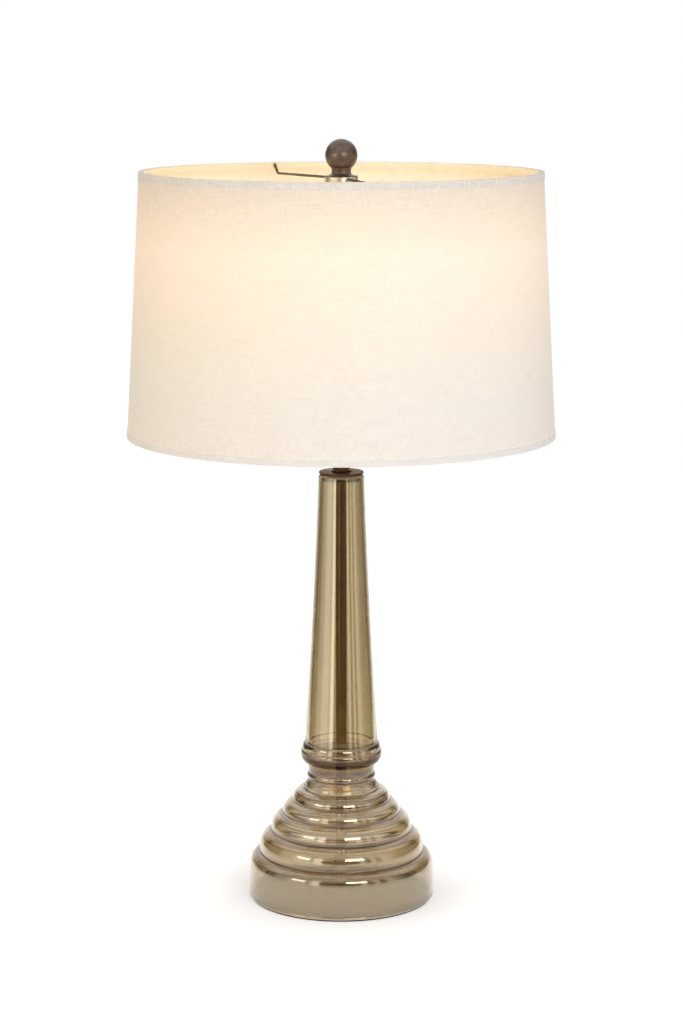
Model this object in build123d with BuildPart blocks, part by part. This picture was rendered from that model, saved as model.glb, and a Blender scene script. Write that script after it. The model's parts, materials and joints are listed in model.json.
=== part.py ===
"""Candlestick table lamp: stepped lustre-glass body on a threaded pipe, harp and drum shade.

All sizes are in millimetres. The origin is on the table, at the middle of the felt pad, with
+Z up the lamp's axis. -Y is the front, and the cord inlet is at the back, on +Y.
"""

from build123d import *
import os
from math import acos, atan, cos, hypot, pi, radians, sin

# ---------------------------------------------------------------- driving sizes

# clearances
slip = 0.05              # radial clearance of a pin, stud or pipe in its hole
ease = 0.2               # gap left round a loose insert
seat = 0.1               # gap left under a face that another piece rests on
glue_line = 0.1          # gap between laminated skins

# felt, base plate and clamp at the bottom
felt_thickness = 1.5
felt_radius = 87.5
plate_thickness = 1.2
plate_radius = 88.2
dish_height = 9.5        # how far the middle of the plate is pressed up
dish_top_radius = 32.0
dish_foot_radius = 40.0
washer_radius = 14.0
washer_thickness = 1.2
lock_washer_radius = 8.5
lock_washer_thickness = 1.4
lock_washer_split = 0.8
nut_across_flats = 14.3
nut_height = 4.0
nut_chamfer = 0.4
gasket_width = 3.3
gasket_height = 5.0

# glass body, from the foot up
glass_wall = 3.5
foot_flare = 1.3         # how much wider the foot is at the table than at its shoulder
foot_edge_round = 2.6
# radius, height of the upright wall, and radius of the rounded shoulder of each tier
tiers = (
    (89.2, 31.5, 11.8),
    (79.6, 6.2, 16.0),
    (68.4, 2.7, 14.8),
    (56.9, 1.5, 11.2),
    (47.5, 0.3, 11.8),
)
collar_radius = 36.8
collar_height = 2.8
collar_slope_height = 5.6
waist_radius = 31.8
ring_radius = 33.4
ring_gap = 1.4           # plain waist below the neck ring
ring_height = 6.2
waist_height = 8.6       # plain waist between the ring and the bead
bead_radius = 39.3
bead_lower_height = 10.3
bead_upper_height = 3.5
cushion_radius = 38.0    # small cushion between the bead and the column
cushion_height = 7.1
column_foot_radius = 35.3
column_waist_radius = 27.4
column_top_radius = 21.8
column_height = 262.6
lip_round = 3.0

# cord inlet at the back of the foot
inlet_height = 14.0
inlet_radius = 5.5
inlet_bore_radius = 3.3
inlet_flange_radius = 7.5
inlet_flange_thickness = 1.8
inlet_flange_round = 0.7
inlet_reach = 4.0        # how far the bushing stands inside the glass

# pipe, cap and neck
pipe_radius = 5.145      # 1/8 IP lamp pipe, 10.29 mm across
pipe_bore_radius = 3.6
pipe_tail = 1.5          # pipe end above the felt
pipe_head = 9.0          # pipe end above the saddle
cap_gasket_thickness = 0.6
cap_gasket_lip = 6.0     # how far the gasket reaches down inside the column
cap_gasket_wall = 2.0
cap_gasket_radius = 20.6
cap_radius = 21.4
cap_thickness = 2.0
cap_edge_round = 0.9
neck_height = 55.4
neck_radius = 8.4
neck_waist_radius = 7.6
neck_flange_radius = 9.8
neck_flange_height = 1.4
neck_rim_round = 0.45

# harp saddle
saddle_thickness = 1.5
saddle_width = 14.0
saddle_arm_width = 9.0
saddle_half_span = 22.0  # middle of each upright
saddle_arm_height = 17.0
tongue_width = 4.0
tongue_height = 10.0
saddle_bend = 4.0

# socket
socket_cap_radius = 17.2
socket_cap_height = 18.0
socket_cap_wall = 0.8
socket_hub_radius = 7.6
socket_hub_height = 4.5
socket_bowl_height = 6.8
shell_height = 50.0
shell_wall = 0.6
shell_inset = 11.5       # shell's lower edge above the saddle
sleeve_wall = 0.8
sleeve_setback = 2.0
core_height = 19.0       # moulded insulating body
core_lift = 14.5         # its lower face above the saddle
screw_shell_radius = 13.7
screw_shell_wall = 0.5
screw_shell_height = 25.0
contact_width = 4.0
contact_thickness = 0.5
contact_rise = 2.2
contact_reach = 3.0      # back of the leaf from the lamp's axis
terminal_head_radius = 2.9
terminal_head_height = 1.6
terminal_shank_radius = 1.8
terminal_shank_length = 5.0
terminal_lift = 5.0
terminal_slot = 0.7
terminal_flat = 11.4

# turn switch
switch_lift = 10.5       # shaft above the lower face of the core
switch_shaft_radius = 1.6
switch_slot_clearance = 0.6
rotor_radius = 4.6
rotor_length = 8.0
rotor_notch_radius = 1.0
rotor_front = 10.5       # distance of the rotor's front face from the lamp axis
knob_radius = 5.2
knob_length = 13.0
knob_front = 37.0
knob_end_wall = 3.0
knob_flute_radius = 1.0
knob_flutes = 12

# bulb
bulb_tip_gap = 0.3
bulb_tip_radius = 4.6
bulb_tip_height = 0.9
bulb_tip_round = 0.5
bulb_insulator_height = 2.8
bulb_base_radius = 13.0
bulb_base_height = 21.0
bulb_thread_depth = 0.7
bulb_threads = 5
bulb_thread_pitch = 3.36
bulb_base_wall = 1.0
bulb_radius = 30.0
bulb_length = 106.0
bulb_wall = 1.0
bulb_neck_radius = 13.4
stem_height = 24.0
stem_sink = 8.0          # how far the stem's flange is down inside the base
stem_flange = 1.5
stem_radius = 6.5
stem_tip_radius = 2.2
filament_wire_radius = 0.35
filament_half_span = 13.0
filament_rise = 26.0
lead_rise = 4.0
lead_bend = 1.5

# harp
harp_wire_radius = 1.6
harp_height = 215.9      # underside of the saddle to the top of the eye
harp_half_width = 50.0
harp_leg_overlap = 12.0  # length of leg beside the tongue
harp_straight = 26.0     # straight leg above the tongue
harp_flare_height = 38.0
harp_shoulder_drop = 49.5
harp_top_half = 26.0
harp_bends = (24.0, 40.0, 60.0, 22.0)
harp_eye_radius = 7.0
ferrule_wall = 1.1
ferrule_height = 9.0

# swivel stud on the harp
stud_shank_radius = 2.55
stud_head_radius = 4.5
stud_head_height = 1.4
stud_collar_radius = 6.5
stud_collar_height = 6.0
stud_radius = 3.1
stud_length = 14.8
stud_chamfer = 1.0

# shade
shade_bottom_radius = 203.2
shade_top_radius = 189.6
shade_height = 247.7
linen_thickness = 0.6
liner_thickness = 0.5
hem_thickness = 0.5
top_hem_outside = 6.5
top_hem_inside = 5.5
bottom_hem_outside = 6.0
bottom_hem_inside = 6.0
ring_wire_radius = 1.6

# spider that carries the shade on the stud
hub_radius = 15.87
hub_height = 7.8
hub_wall = 1.6
hub_roof = 2.0
hub_round = 0.6
hub_hole_radius = 3.4
hub_sink = 4.4           # hub's top below the shade's top edge
arm_wire_radius = 1.25
arm_sag = 3.5            # how much an arm drops on its way out
arm_elbow_radius = 176.0
arm_elbow_round = 3.0
arm_azimuths = (111.0, 291.0)
weld = 0.8               # how deep a wire's end is sunk in what it is brazed to

# finial
finial_ball_radius = 15.2
finial_height = 35.0
finial_skirt_radius = 15.6
finial_skirt_edge = 0.7
finial_neck_radius = 9.0
finial_neck_lift = 4.4   # narrowest place above the skirt's face
finial_throat_radius = 9.5
finial_bore_spare = 1.2

# ---------------------------------------------------------------- levels and radii worked out

plate_z = felt_thickness
glass_z = plate_z + plate_thickness
dish_z = plate_z + dish_height


def shoulder_end(radius, rounding, inner_radius):
    """Angle at which a rounded shoulder reaches the wall of the tier above, at most 90 degrees."""
    return acos(max(0.0, (inner_radius - (radius - rounding)) / rounding))


shoulder_z = []
valley_z = [glass_z]
for i, (radius, wall, rounding) in enumerate(tiers):
    inner_radius = tiers[i + 1][0] if i + 1 < len(tiers) else collar_radius
    shoulder_z.append(valley_z[-1] + wall)
    valley_z.append(shoulder_z[-1] + rounding * sin(shoulder_end(radius, rounding, inner_radius)))

collar_z = valley_z[-1] + collar_height
waist_z = collar_z + collar_slope_height
ring_z = waist_z + ring_gap
upper_waist_z = ring_z + ring_height
bead_z = upper_waist_z + waist_height
bead_mid_z = bead_z + bead_lower_height
cushion_z = bead_mid_z + bead_upper_height
column_z = cushion_z + cushion_height
glass_top_z = column_z + column_height

cap_z = glass_top_z + cap_gasket_thickness
neck_z = cap_z + cap_thickness
saddle_z = neck_z + neck_height
socket_z = saddle_z + saddle_thickness
tongue_z = saddle_z + saddle_arm_height
tongue_top_z = tongue_z + tongue_height
pipe_bottom_z = felt_thickness + pipe_tail
pipe_top_z = socket_z + pipe_head
clear_of_pipe = pipe_radius + slip

shell_radius = socket_cap_radius - socket_cap_wall - seat
shell_z = socket_z + shell_inset
shell_top_z = shell_z + shell_height
sleeve_radius = shell_radius - shell_wall - seat
sleeve_z = shell_z + sleeve_setback
sleeve_top_z = shell_top_z - sleeve_setback
core_radius = sleeve_radius - sleeve_wall - ease
core_z = socket_z + core_lift
core_top_z = core_z + core_height
switch_z = core_z + switch_lift
contact_top_z = core_top_z + contact_rise
screw_shell_inside = screw_shell_radius - screw_shell_wall

bulb_z = contact_top_z + bulb_tip_gap
bulb_insulator_z = bulb_z + bulb_tip_height
bulb_base_z = bulb_insulator_z + bulb_insulator_height
bulb_base_top_z = bulb_base_z + bulb_base_height
bulb_centre_z = bulb_z + bulb_length - bulb_radius

harp_top_z = saddle_z + harp_height
harp_leg_x = saddle_half_span + saddle_thickness / 2 + seat + harp_wire_radius
harp_bottom_z = tongue_top_z - harp_leg_overlap
eye_z = harp_top_z - 2 * harp_wire_radius
stud_collar_z = harp_top_z + seat
hub_roof_z = stud_collar_z + stud_collar_height + seat
hub_top_z = hub_roof_z + hub_roof
hub_z = hub_top_z - hub_height
shade_top_z = hub_top_z + hub_sink
shade_z = shade_top_z - shade_height
stud_top_z = hub_roof_z + stud_length
finial_z = hub_top_z + seat
shade_slope = (shade_bottom_radius - shade_top_radius) / shade_height


def shade_radius(z, inset=0.0):
    """Radius of the shade's outer face at a height, less the skins outside the one asked for."""
    return shade_top_radius + (shade_top_z - z) * shade_slope - inset


liner_inset = linen_thickness + glue_line
ring_inset = liner_inset + liner_thickness + seat + ring_wire_radius
hem_inset = ring_inset + ring_wire_radius + seat
top_ring_z = shade_top_z - ring_wire_radius - seat
bottom_ring_z = shade_z + ring_wire_radius + seat
top_ring_radius = shade_radius(top_ring_z, ring_inset)
bottom_ring_radius = shade_radius(bottom_ring_z, ring_inset)

os.makedirs("parts", exist_ok=True)


def polar(centre, radius, angle):
    """Point of the section at an angle in radians from a centre."""
    return (centre[0] + radius * cos(angle), centre[1] + radius * sin(angle))


# ---------------------------------------------------------------- bottom of the lamp

with BuildPart() as felt_pad:
    with BuildSketch(Plane.XY):
        Circle(felt_radius)
    extrude(amount=felt_thickness)
    fillet(felt_pad.edges().group_by(Axis.Z)[0], felt_thickness / 4)
felt_pad.part.label = "felt_pad"
export_step(felt_pad.part, "parts/felt_pad.step")

with BuildPart() as base_plate:
    with BuildSketch(Plane.XZ):
        with BuildLine():
            Polyline(
                (clear_of_pipe, dish_z),
                (dish_top_radius, dish_z),
                (dish_foot_radius, plate_z),
                (plate_radius, plate_z),
                (plate_radius, glass_z),
                (dish_foot_radius + plate_thickness / 2, glass_z),
                (dish_top_radius + plate_thickness / 2, dish_z + plate_thickness),
                (clear_of_pipe, dish_z + plate_thickness),
                close=True,
            )
        make_face()
    revolve(axis=Axis.Z)
base_plate.part.label = "base_plate"
export_step(base_plate.part, "parts/base_plate.step")

washer_z = dish_z - washer_thickness
with BuildPart() as bottom_washer:
    with BuildSketch(Plane.XY.offset(washer_z)):
        Circle(washer_radius)
        Circle(clear_of_pipe, mode=Mode.SUBTRACT)
    extrude(amount=washer_thickness)
bottom_washer.part.label = "bottom_washer"
export_step(bottom_washer.part, "parts/bottom_washer.step")

lock_washer_z = washer_z - lock_washer_thickness
with BuildPart() as lock_washer:
    with BuildSketch(Plane.XY.offset(lock_washer_z)):
        Circle(lock_washer_radius)
        Circle(clear_of_pipe, mode=Mode.SUBTRACT)
        with Locations((lock_washer_radius, 0)):
            Rectangle(2 * lock_washer_radius, lock_washer_split, mode=Mode.SUBTRACT)
    extrude(amount=lock_washer_thickness)
lock_washer.part.label = "lock_washer"
export_step(lock_washer.part, "parts/lock_washer.step")

nut_z = lock_washer_z - nut_height
with BuildPart() as hex_nut:
    with BuildSketch(Plane.XY.offset(nut_z)):
        RegularPolygon(nut_across_flats / 2, 6, major_radius=False)
        Circle(clear_of_pipe, mode=Mode.SUBTRACT)
    extrude(amount=nut_height)
    chamfer(hex_nut.edges().group_by(Axis.Z)[0].filter_by(GeomType.CIRCLE), nut_chamfer)
hex_nut.part.label = "hex_nut"
export_step(hex_nut.part, "parts/hex_nut.step")

foot_radius = tiers[0][0] + foot_flare
foot_inside = foot_radius - glass_wall
with BuildPart() as foot_gasket:
    with BuildSketch(Plane.XY.offset(glass_z)):
        Circle(foot_inside - 2 * ease)
        Circle(foot_inside - 2 * ease - gasket_width, mode=Mode.SUBTRACT)
    extrude(amount=gasket_height)
foot_gasket.part.label = "foot_gasket"
export_step(foot_gasket.part, "parts/foot_gasket.step")

# ---------------------------------------------------------------- glass body


def stepped_wall(inset):
    """Draws the tiers' outline from the foot to the collar, set in by a wall; returns its end."""
    here = (tiers[0][0] - inset, shoulder_z[0])
    for i, (radius, wall, rounding) in enumerate(tiers):
        inner_radius = (tiers[i + 1][0] if i + 1 < len(tiers) else collar_radius) - inset
        centre = (radius - rounding, shoulder_z[i])
        if here[1] < shoulder_z[i]:
            Line(here, (radius - inset, shoulder_z[i]))
        turn = shoulder_end(radius - inset, rounding - inset, inner_radius)
        here = polar(centre, rounding - inset, turn)
        ThreePointArc((radius - inset, shoulder_z[i]), polar(centre, rounding - inset, turn / 2), here)
        if here[0] - inner_radius > 1e-6:
            Line(here, (inner_radius, here[1]))
        here = (inner_radius, here[1])
    return here


waist_inside = waist_radius - glass_wall
inlet_inside = Plane(origin=(0, foot_inside - glass_wall, inlet_height), x_dir=(1, 0, 0), z_dir=(0, 1, 0))

with BuildPart() as glass_body:
    with BuildSketch(Plane.XZ):
        with BuildLine():
            # outside, from the foot's rim up
            edge_centre = (foot_radius - foot_edge_round, glass_z + foot_edge_round)
            Line((foot_inside, glass_z), (foot_radius - foot_edge_round, glass_z))
            ThreePointArc((foot_radius - foot_edge_round, glass_z),
                          polar(edge_centre, foot_edge_round, -pi / 4),
                          (foot_radius, edge_centre[1]))
            Line((foot_radius, edge_centre[1]), (tiers[0][0], shoulder_z[0]))
            collar_foot = stepped_wall(0)
            Polyline(collar_foot, (collar_radius, collar_z), (waist_radius, waist_z),
                     (waist_radius, ring_z))
            ThreePointArc((waist_radius, ring_z), (ring_radius, ring_z + ring_height / 2),
                          (waist_radius, upper_waist_z))
            Line((waist_radius, upper_waist_z), (waist_radius, bead_z))
            EllipticalCenterArc((waist_radius, bead_mid_z), bead_radius - waist_radius,
                                bead_lower_height, start_angle=270, arc_size=90)
            EllipticalCenterArc((cushion_radius, bead_mid_z), bead_radius - cushion_radius,
                                bead_upper_height, start_angle=0, arc_size=90)
            EllipticalCenterArc((column_foot_radius, cushion_z), cushion_radius - column_foot_radius,
                                cushion_height, start_angle=0, arc_size=90)
            ThreePointArc((column_foot_radius, column_z),
                          (column_waist_radius, column_z + column_height / 2),
                          (column_top_radius, glass_top_z))
            # top rim and the inside, back down to the foot
            top_inside = column_top_radius - glass_wall
            Line((column_top_radius, glass_top_z), (top_inside, glass_top_z))
            ThreePointArc((top_inside, glass_top_z),
                          (column_waist_radius - glass_wall, column_z + column_height / 2),
                          (column_foot_radius - glass_wall, column_z))
            collar_inner_foot = stepped_wall(glass_wall)
            Polyline((column_foot_radius - glass_wall, column_z), (waist_inside, bead_z),
                     (waist_inside, waist_z), (collar_radius - glass_wall, collar_z), collar_inner_foot)
            Line((tiers[0][0] - glass_wall, shoulder_z[0]), (foot_inside, glass_z))
        make_face()
    revolve(axis=Axis.Z)
    rim = glass_body.edges().group_by(Axis.Z)[-1].sort_by(SortBy.LENGTH)[-1]
    fillet(rim, min(lip_round, 0.8 * glass_wall))
    with BuildSketch(inlet_inside):
        Circle(inlet_radius)
    extrude(amount=4 * glass_wall, mode=Mode.SUBTRACT)
glass_body.part.label = "glass_body"
export_step(glass_body.part, "parts/glass_body.step")

with BuildPart() as cord_grommet:
    flange_y = foot_radius + seat
    flange_face = Plane(origin=(0, flange_y, inlet_height), x_dir=(1, 0, 0), z_dir=(0, 1, 0))
    bushing_length = flange_y - (foot_inside - foot_flare) + inlet_reach
    with BuildSketch(flange_face):
        Circle(inlet_flange_radius)
    extrude(amount=inlet_flange_thickness)
    fillet(cord_grommet.edges().group_by(Axis.Y)[-1], inlet_flange_round)
    with BuildSketch(flange_face):
        Circle(inlet_radius - ease)
    extrude(amount=-bushing_length)
    with BuildSketch(flange_face.offset(inlet_flange_thickness)):
        Circle(inlet_bore_radius)
    extrude(amount=-(inlet_flange_thickness + bushing_length), mode=Mode.SUBTRACT)
cord_grommet.part.label = "cord_grommet"
export_step(cord_grommet.part, "parts/cord_grommet.step")

# ---------------------------------------------------------------- pipe, cap and neck

with BuildPart() as lamp_pipe:
    with BuildSketch(Plane.XY.offset(pipe_bottom_z)):
        Circle(pipe_radius)
        Circle(pipe_bore_radius, mode=Mode.SUBTRACT)
    extrude(amount=pipe_top_z - pipe_bottom_z)
lamp_pipe.part.label = "lamp_pipe"
export_step(lamp_pipe.part, "parts/lamp_pipe.step")

with BuildPart() as cap_gasket:
    lip_outside = column_top_radius - glass_wall - ease
    lip_inside = lip_outside - cap_gasket_wall
    with BuildSketch(Plane.XZ):
        with BuildLine():
            Polyline(
                (lip_inside, glass_top_z - cap_gasket_lip),
                (lip_outside, glass_top_z - cap_gasket_lip),
                (lip_outside, glass_top_z),
                (cap_gasket_radius, glass_top_z),
                (cap_gasket_radius, cap_z),
                (lip_inside, cap_z),
                close=True,
            )
        make_face()
    revolve(axis=Axis.Z)
cap_gasket.part.label = "cap_gasket"
export_step(cap_gasket.part, "parts/cap_gasket.step")

with BuildPart() as top_cap:
    with BuildSketch(Plane.XY.offset(cap_z)):
        Circle(cap_radius)
    extrude(amount=cap_thickness)
    fillet(top_cap.edges().filter_by(GeomType.CIRCLE), cap_edge_round)
    with BuildSketch(Plane.XY.offset(cap_z)):
        Circle(clear_of_pipe)
    extrude(amount=cap_thickness, mode=Mode.SUBTRACT)
top_cap.part.label = "top_cap"
export_step(top_cap.part, "parts/top_cap.step")

with BuildPart() as neck:
    with BuildSketch(Plane.XZ):
        with BuildLine():
            flange_z = neck_z + neck_flange_height
            upper_flange_z = saddle_z - neck_flange_height
            Polyline(
                (neck_radius, flange_z),
                (neck_flange_radius, flange_z),
                (neck_flange_radius, neck_z),
                (clear_of_pipe, neck_z),
                (clear_of_pipe, saddle_z),
                (neck_flange_radius, saddle_z),
                (neck_flange_radius, upper_flange_z),
                (neck_radius, upper_flange_z),
            )
            ThreePointArc((neck_radius, flange_z),
                          (neck_waist_radius, (flange_z + upper_flange_z) / 2),
                          (neck_radius, upper_flange_z))
        make_face()
    revolve(axis=Axis.Z)
    rims = neck.edges().filter_by(Plane.XY).group_by(SortBy.RADIUS)[-1]
    fillet(rims, neck_rim_round)
neck.part.label = "neck"
export_step(neck.part, "parts/neck.step")

# ---------------------------------------------------------------- harp saddle and socket

with BuildPart() as harp_saddle:
    inner_x = saddle_half_span - saddle_thickness / 2
    outer_x = saddle_half_span + saddle_thickness / 2
    with BuildSketch(Plane.XZ):
        with BuildLine():
            FilletPolyline((-outer_x, tongue_top_z), (-outer_x, saddle_z), (outer_x, saddle_z),
                           (outer_x, tongue_top_z), radius=saddle_bend)
            FilletPolyline((-inner_x, tongue_top_z), (-inner_x, socket_z), (inner_x, socket_z),
                           (inner_x, tongue_top_z), radius=saddle_bend - saddle_thickness)
            Line((-outer_x, tongue_top_z), (-inner_x, tongue_top_z))
            Line((outer_x, tongue_top_z), (inner_x, tongue_top_z))
        make_face()
    extrude(amount=saddle_width / 2, both=True)
    # the arms narrow from the strap's full width, and again to the tongue that the harp locks on
    for low_z, width in ((socket_z + saddle_bend, saddle_arm_width), (tongue_z, tongue_width)):
        for face in (-1, 1):
            with BuildSketch(Plane.XY.offset(low_z)):
                with Locations((0, face * (width + saddle_width) / 2)):
                    Rectangle(3 * saddle_half_span, saddle_width)
            extrude(amount=saddle_arm_height + tongue_height, mode=Mode.SUBTRACT)
    with BuildSketch(Plane.XY.offset(saddle_z)):
        Circle(clear_of_pipe)
    extrude(amount=saddle_thickness, mode=Mode.SUBTRACT)
harp_saddle.part.label = "harp_saddle"
export_step(harp_saddle.part, "parts/harp_saddle.step")

with BuildPart() as socket_cap:
    # a bowl on a solid hub: quarter ellipses outside and inside, then an upright rim
    bowl_z = socket_z + socket_hub_height
    bowl_top_z = bowl_z + socket_bowl_height
    rim_z = socket_z + socket_cap_height
    bowl_reach = socket_cap_radius - socket_hub_radius
    rim_inside = socket_cap_radius - socket_cap_wall
    with BuildSketch(Plane.XZ):
        with BuildLine():
            EllipticalCenterArc((socket_hub_radius, bowl_top_z), bowl_reach,
                                socket_bowl_height, start_angle=270, arc_size=90)
            Polyline((socket_cap_radius, bowl_top_z), (socket_cap_radius, rim_z),
                     (rim_inside, rim_z), (rim_inside, bowl_top_z))
            EllipticalCenterArc((socket_hub_radius, bowl_top_z), bowl_reach - socket_cap_wall,
                                socket_bowl_height - socket_cap_wall, start_angle=270, arc_size=90)
            Polyline((socket_hub_radius, bowl_z + socket_cap_wall), (clear_of_pipe, bowl_z + socket_cap_wall),
                     (clear_of_pipe, socket_z), (socket_hub_radius, socket_z), (socket_hub_radius, bowl_z))
        make_face()
    revolve(axis=Axis.Z)
socket_cap.part.label = "socket_cap"
export_step(socket_cap.part, "parts/socket_cap.step")

with BuildPart() as socket_shell:
    with BuildSketch(Plane.XZ):
        with BuildLine():
            bead = 2 * shell_wall
            Polyline((shell_radius, shell_top_z - 2 * bead), (shell_radius, shell_z),
                     (shell_radius - shell_wall, shell_z), (shell_radius - shell_wall, shell_top_z),
                     (shell_radius, shell_top_z))
            ThreePointArc((shell_radius, shell_top_z), (shell_radius + bead, shell_top_z - bead),
                          (shell_radius, shell_top_z - 2 * bead))
        make_face()
    revolve(axis=Axis.Z)
    with BuildSketch(Plane.XZ):
        with Locations((0, switch_z)):
            Circle(switch_shaft_radius + switch_slot_clearance)
    extrude(amount=2 * shell_radius, mode=Mode.SUBTRACT)
socket_shell.part.label = "socket_shell"
export_step(socket_shell.part, "parts/socket_shell.step")

with BuildPart() as insulating_sleeve:
    with BuildSketch(Plane.XY.offset(sleeve_z)):
        Circle(sleeve_radius)
        Circle(sleeve_radius - sleeve_wall, mode=Mode.SUBTRACT)
    extrude(amount=sleeve_top_z - sleeve_z)
    with BuildSketch(Plane.XZ):
        with Locations((0, switch_z)):
            Circle(switch_shaft_radius + switch_slot_clearance)
    extrude(amount=2 * sleeve_radius, mode=Mode.SUBTRACT)
insulating_sleeve.part.label = "insulating_sleeve"
export_step(insulating_sleeve.part, "parts/insulating_sleeve.step")

with BuildPart() as socket_core:
    with BuildSketch(Plane.XY.offset(core_z)):
        Circle(core_radius)
    extrude(amount=core_height)
    # flats that carry the terminal screws
    for side in (-1, 1):
        with BuildSketch(Plane.XY.offset(core_z)):
            with Locations((side * (terminal_flat + core_radius / 2), 0)):
                Rectangle(core_radius, 2 * core_radius)
        extrude(amount=2 * terminal_lift, mode=Mode.SUBTRACT)
    for side in (-1, 1):
        with BuildSketch(Plane.YZ.offset(side * terminal_flat)):
            with Locations((0, core_z + terminal_lift)):
                Circle(terminal_shank_radius + slip)
        extrude(amount=-side * (terminal_shank_length + ease), mode=Mode.SUBTRACT)
    # chamber for the switch rotor and the hole for its shaft, open to the front
    with BuildSketch(Plane.XZ):
        with Locations((0, switch_z)):
            Circle(rotor_radius + ease)
    extrude(amount=2 * core_radius, mode=Mode.SUBTRACT)
socket_core.part.label = "socket_core"
export_step(socket_core.part, "parts/socket_core.step")

with BuildPart() as terminal_screws:
    for side in (-1, 1):
        with BuildSketch(Plane.YZ.offset(side * terminal_flat)):
            with Locations((0, core_z + terminal_lift)):
                Circle(terminal_head_radius)
        extrude(amount=side * terminal_head_height)
        with BuildSketch(Plane.YZ.offset(side * terminal_flat)):
            with Locations((0, core_z + terminal_lift)):
                Circle(terminal_shank_radius)
        extrude(amount=-side * terminal_shank_length)
        with BuildSketch(Plane.YZ.offset(side * (terminal_flat + terminal_head_height))):
            with Locations((0, core_z + terminal_lift)):
                Rectangle(3 * terminal_head_radius, terminal_slot)
        extrude(amount=-side * terminal_head_height / 2, mode=Mode.SUBTRACT)
terminal_screws.part.label = "terminal_screws"
export_step(terminal_screws.part, "parts/terminal_screws.step")

with BuildPart() as screw_shell:
    with BuildSketch(Plane.XZ):
        with BuildLine():
            floor_z = core_top_z + screw_shell_wall
            Polyline(
                (contact_width, core_top_z),
                (screw_shell_radius, core_top_z),
                (screw_shell_radius, core_top_z + screw_shell_height),
                (screw_shell_inside, core_top_z + screw_shell_height),
                (screw_shell_inside, floor_z),
                (contact_width, floor_z),
                close=True,
            )
        make_face()
    revolve(axis=Axis.Z)
screw_shell.part.label = "screw_shell"
export_step(screw_shell.part, "parts/screw_shell.step")

with BuildPart() as centre_contact:
    # a bent leaf: foot on the core, riser, and the tongue that the bulb's tip presses
    half = contact_width / 2
    riser_x = contact_thickness - contact_reach
    with BuildSketch(Plane.XZ):
        with BuildLine():
            Polyline(
                (-contact_reach, core_top_z),
                (half, core_top_z),
                (half, core_top_z + contact_thickness),
                (riser_x, core_top_z + contact_thickness),
                (riser_x, contact_top_z - contact_thickness),
                (half, contact_top_z - contact_thickness),
                (half, contact_top_z),
                (-contact_reach, contact_top_z),
                close=True,
            )
        make_face()
    extrude(amount=half / 2, both=True)
centre_contact.part.label = "centre_contact"
export_step(centre_contact.part, "parts/centre_contact.step")

# ---------------------------------------------------------------- turn switch

with BuildPart() as switch_rotor:
    with BuildSketch(Plane.XZ.offset(rotor_front)):
        with Locations((0, switch_z)):
            Circle(rotor_radius)
            Circle(switch_shaft_radius + slip, mode=Mode.SUBTRACT)
            with PolarLocations(rotor_radius, 4):
                Circle(rotor_notch_radius, mode=Mode.SUBTRACT)
    extrude(amount=-rotor_length)
switch_rotor.part.label = "switch_rotor"
export_step(switch_rotor.part, "parts/switch_rotor.step")

with BuildPart() as switch_shaft:
    with BuildSketch(Plane.XZ.offset(rotor_front - rotor_length)):
        with Locations((0, switch_z)):
            Circle(switch_shaft_radius)
    extrude(amount=knob_front - knob_end_wall - rotor_front + rotor_length)
switch_shaft.part.label = "switch_shaft"
export_step(switch_shaft.part, "parts/switch_shaft.step")

with BuildPart() as switch_knob:
    with BuildSketch(Plane.XZ.offset(knob_front - knob_length)):
        with Locations((0, switch_z)):
            Circle(knob_radius)
            with PolarLocations(knob_radius + knob_flute_radius / 2, knob_flutes):
                Circle(knob_flute_radius, mode=Mode.SUBTRACT)
    extrude(amount=knob_length)
    with BuildSketch(Plane.XZ.offset(knob_front - knob_length)):
        with Locations((0, switch_z)):
            Circle(switch_shaft_radius + slip)
    extrude(amount=knob_length - knob_end_wall + seat, mode=Mode.SUBTRACT)
switch_knob.part.label = "switch_knob"
export_step(switch_knob.part, "parts/switch_knob.step")

# ---------------------------------------------------------------- bulb

with BuildPart() as bulb_contact:
    with BuildSketch(Plane.XY.offset(bulb_z)):
        Circle(bulb_tip_radius)
    extrude(amount=bulb_tip_height)
    fillet(bulb_contact.edges().group_by(Axis.Z)[0], bulb_tip_round)
bulb_contact.part.label = "bulb_contact"
export_step(bulb_contact.part, "parts/bulb_contact.step")

with BuildPart() as bulb_insulator:
    with BuildSketch(Plane.XY.offset(bulb_insulator_z)):
        Circle(bulb_tip_radius + 2 * ease)
    with BuildSketch(Plane.XY.offset(bulb_base_z)):
        Circle(bulb_base_radius - 2 * bulb_thread_depth)
    loft()
bulb_insulator.part.label = "bulb_insulator"
export_step(bulb_insulator.part, "parts/bulb_insulator.step")

with BuildPart() as bulb_base:
    root = bulb_base_radius - bulb_thread_depth
    inside = root - bulb_base_wall
    with BuildSketch(Plane.XZ):
        with BuildLine():
            Line((inside, bulb_base_z), (root, bulb_base_z))
            low = bulb_base_z
            for turn in range(bulb_threads):
                crest = (bulb_base_radius, low + bulb_thread_pitch / 2)
                ThreePointArc((root, low), crest, (root, low + bulb_thread_pitch))
                low += bulb_thread_pitch
            Polyline((root, low), (root, bulb_base_top_z), (inside, bulb_base_top_z), (inside, bulb_base_z))
        make_face()
    revolve(axis=Axis.Z)
bulb_base.part.label = "bulb_base"
export_step(bulb_base.part, "parts/bulb_base.step")


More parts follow.
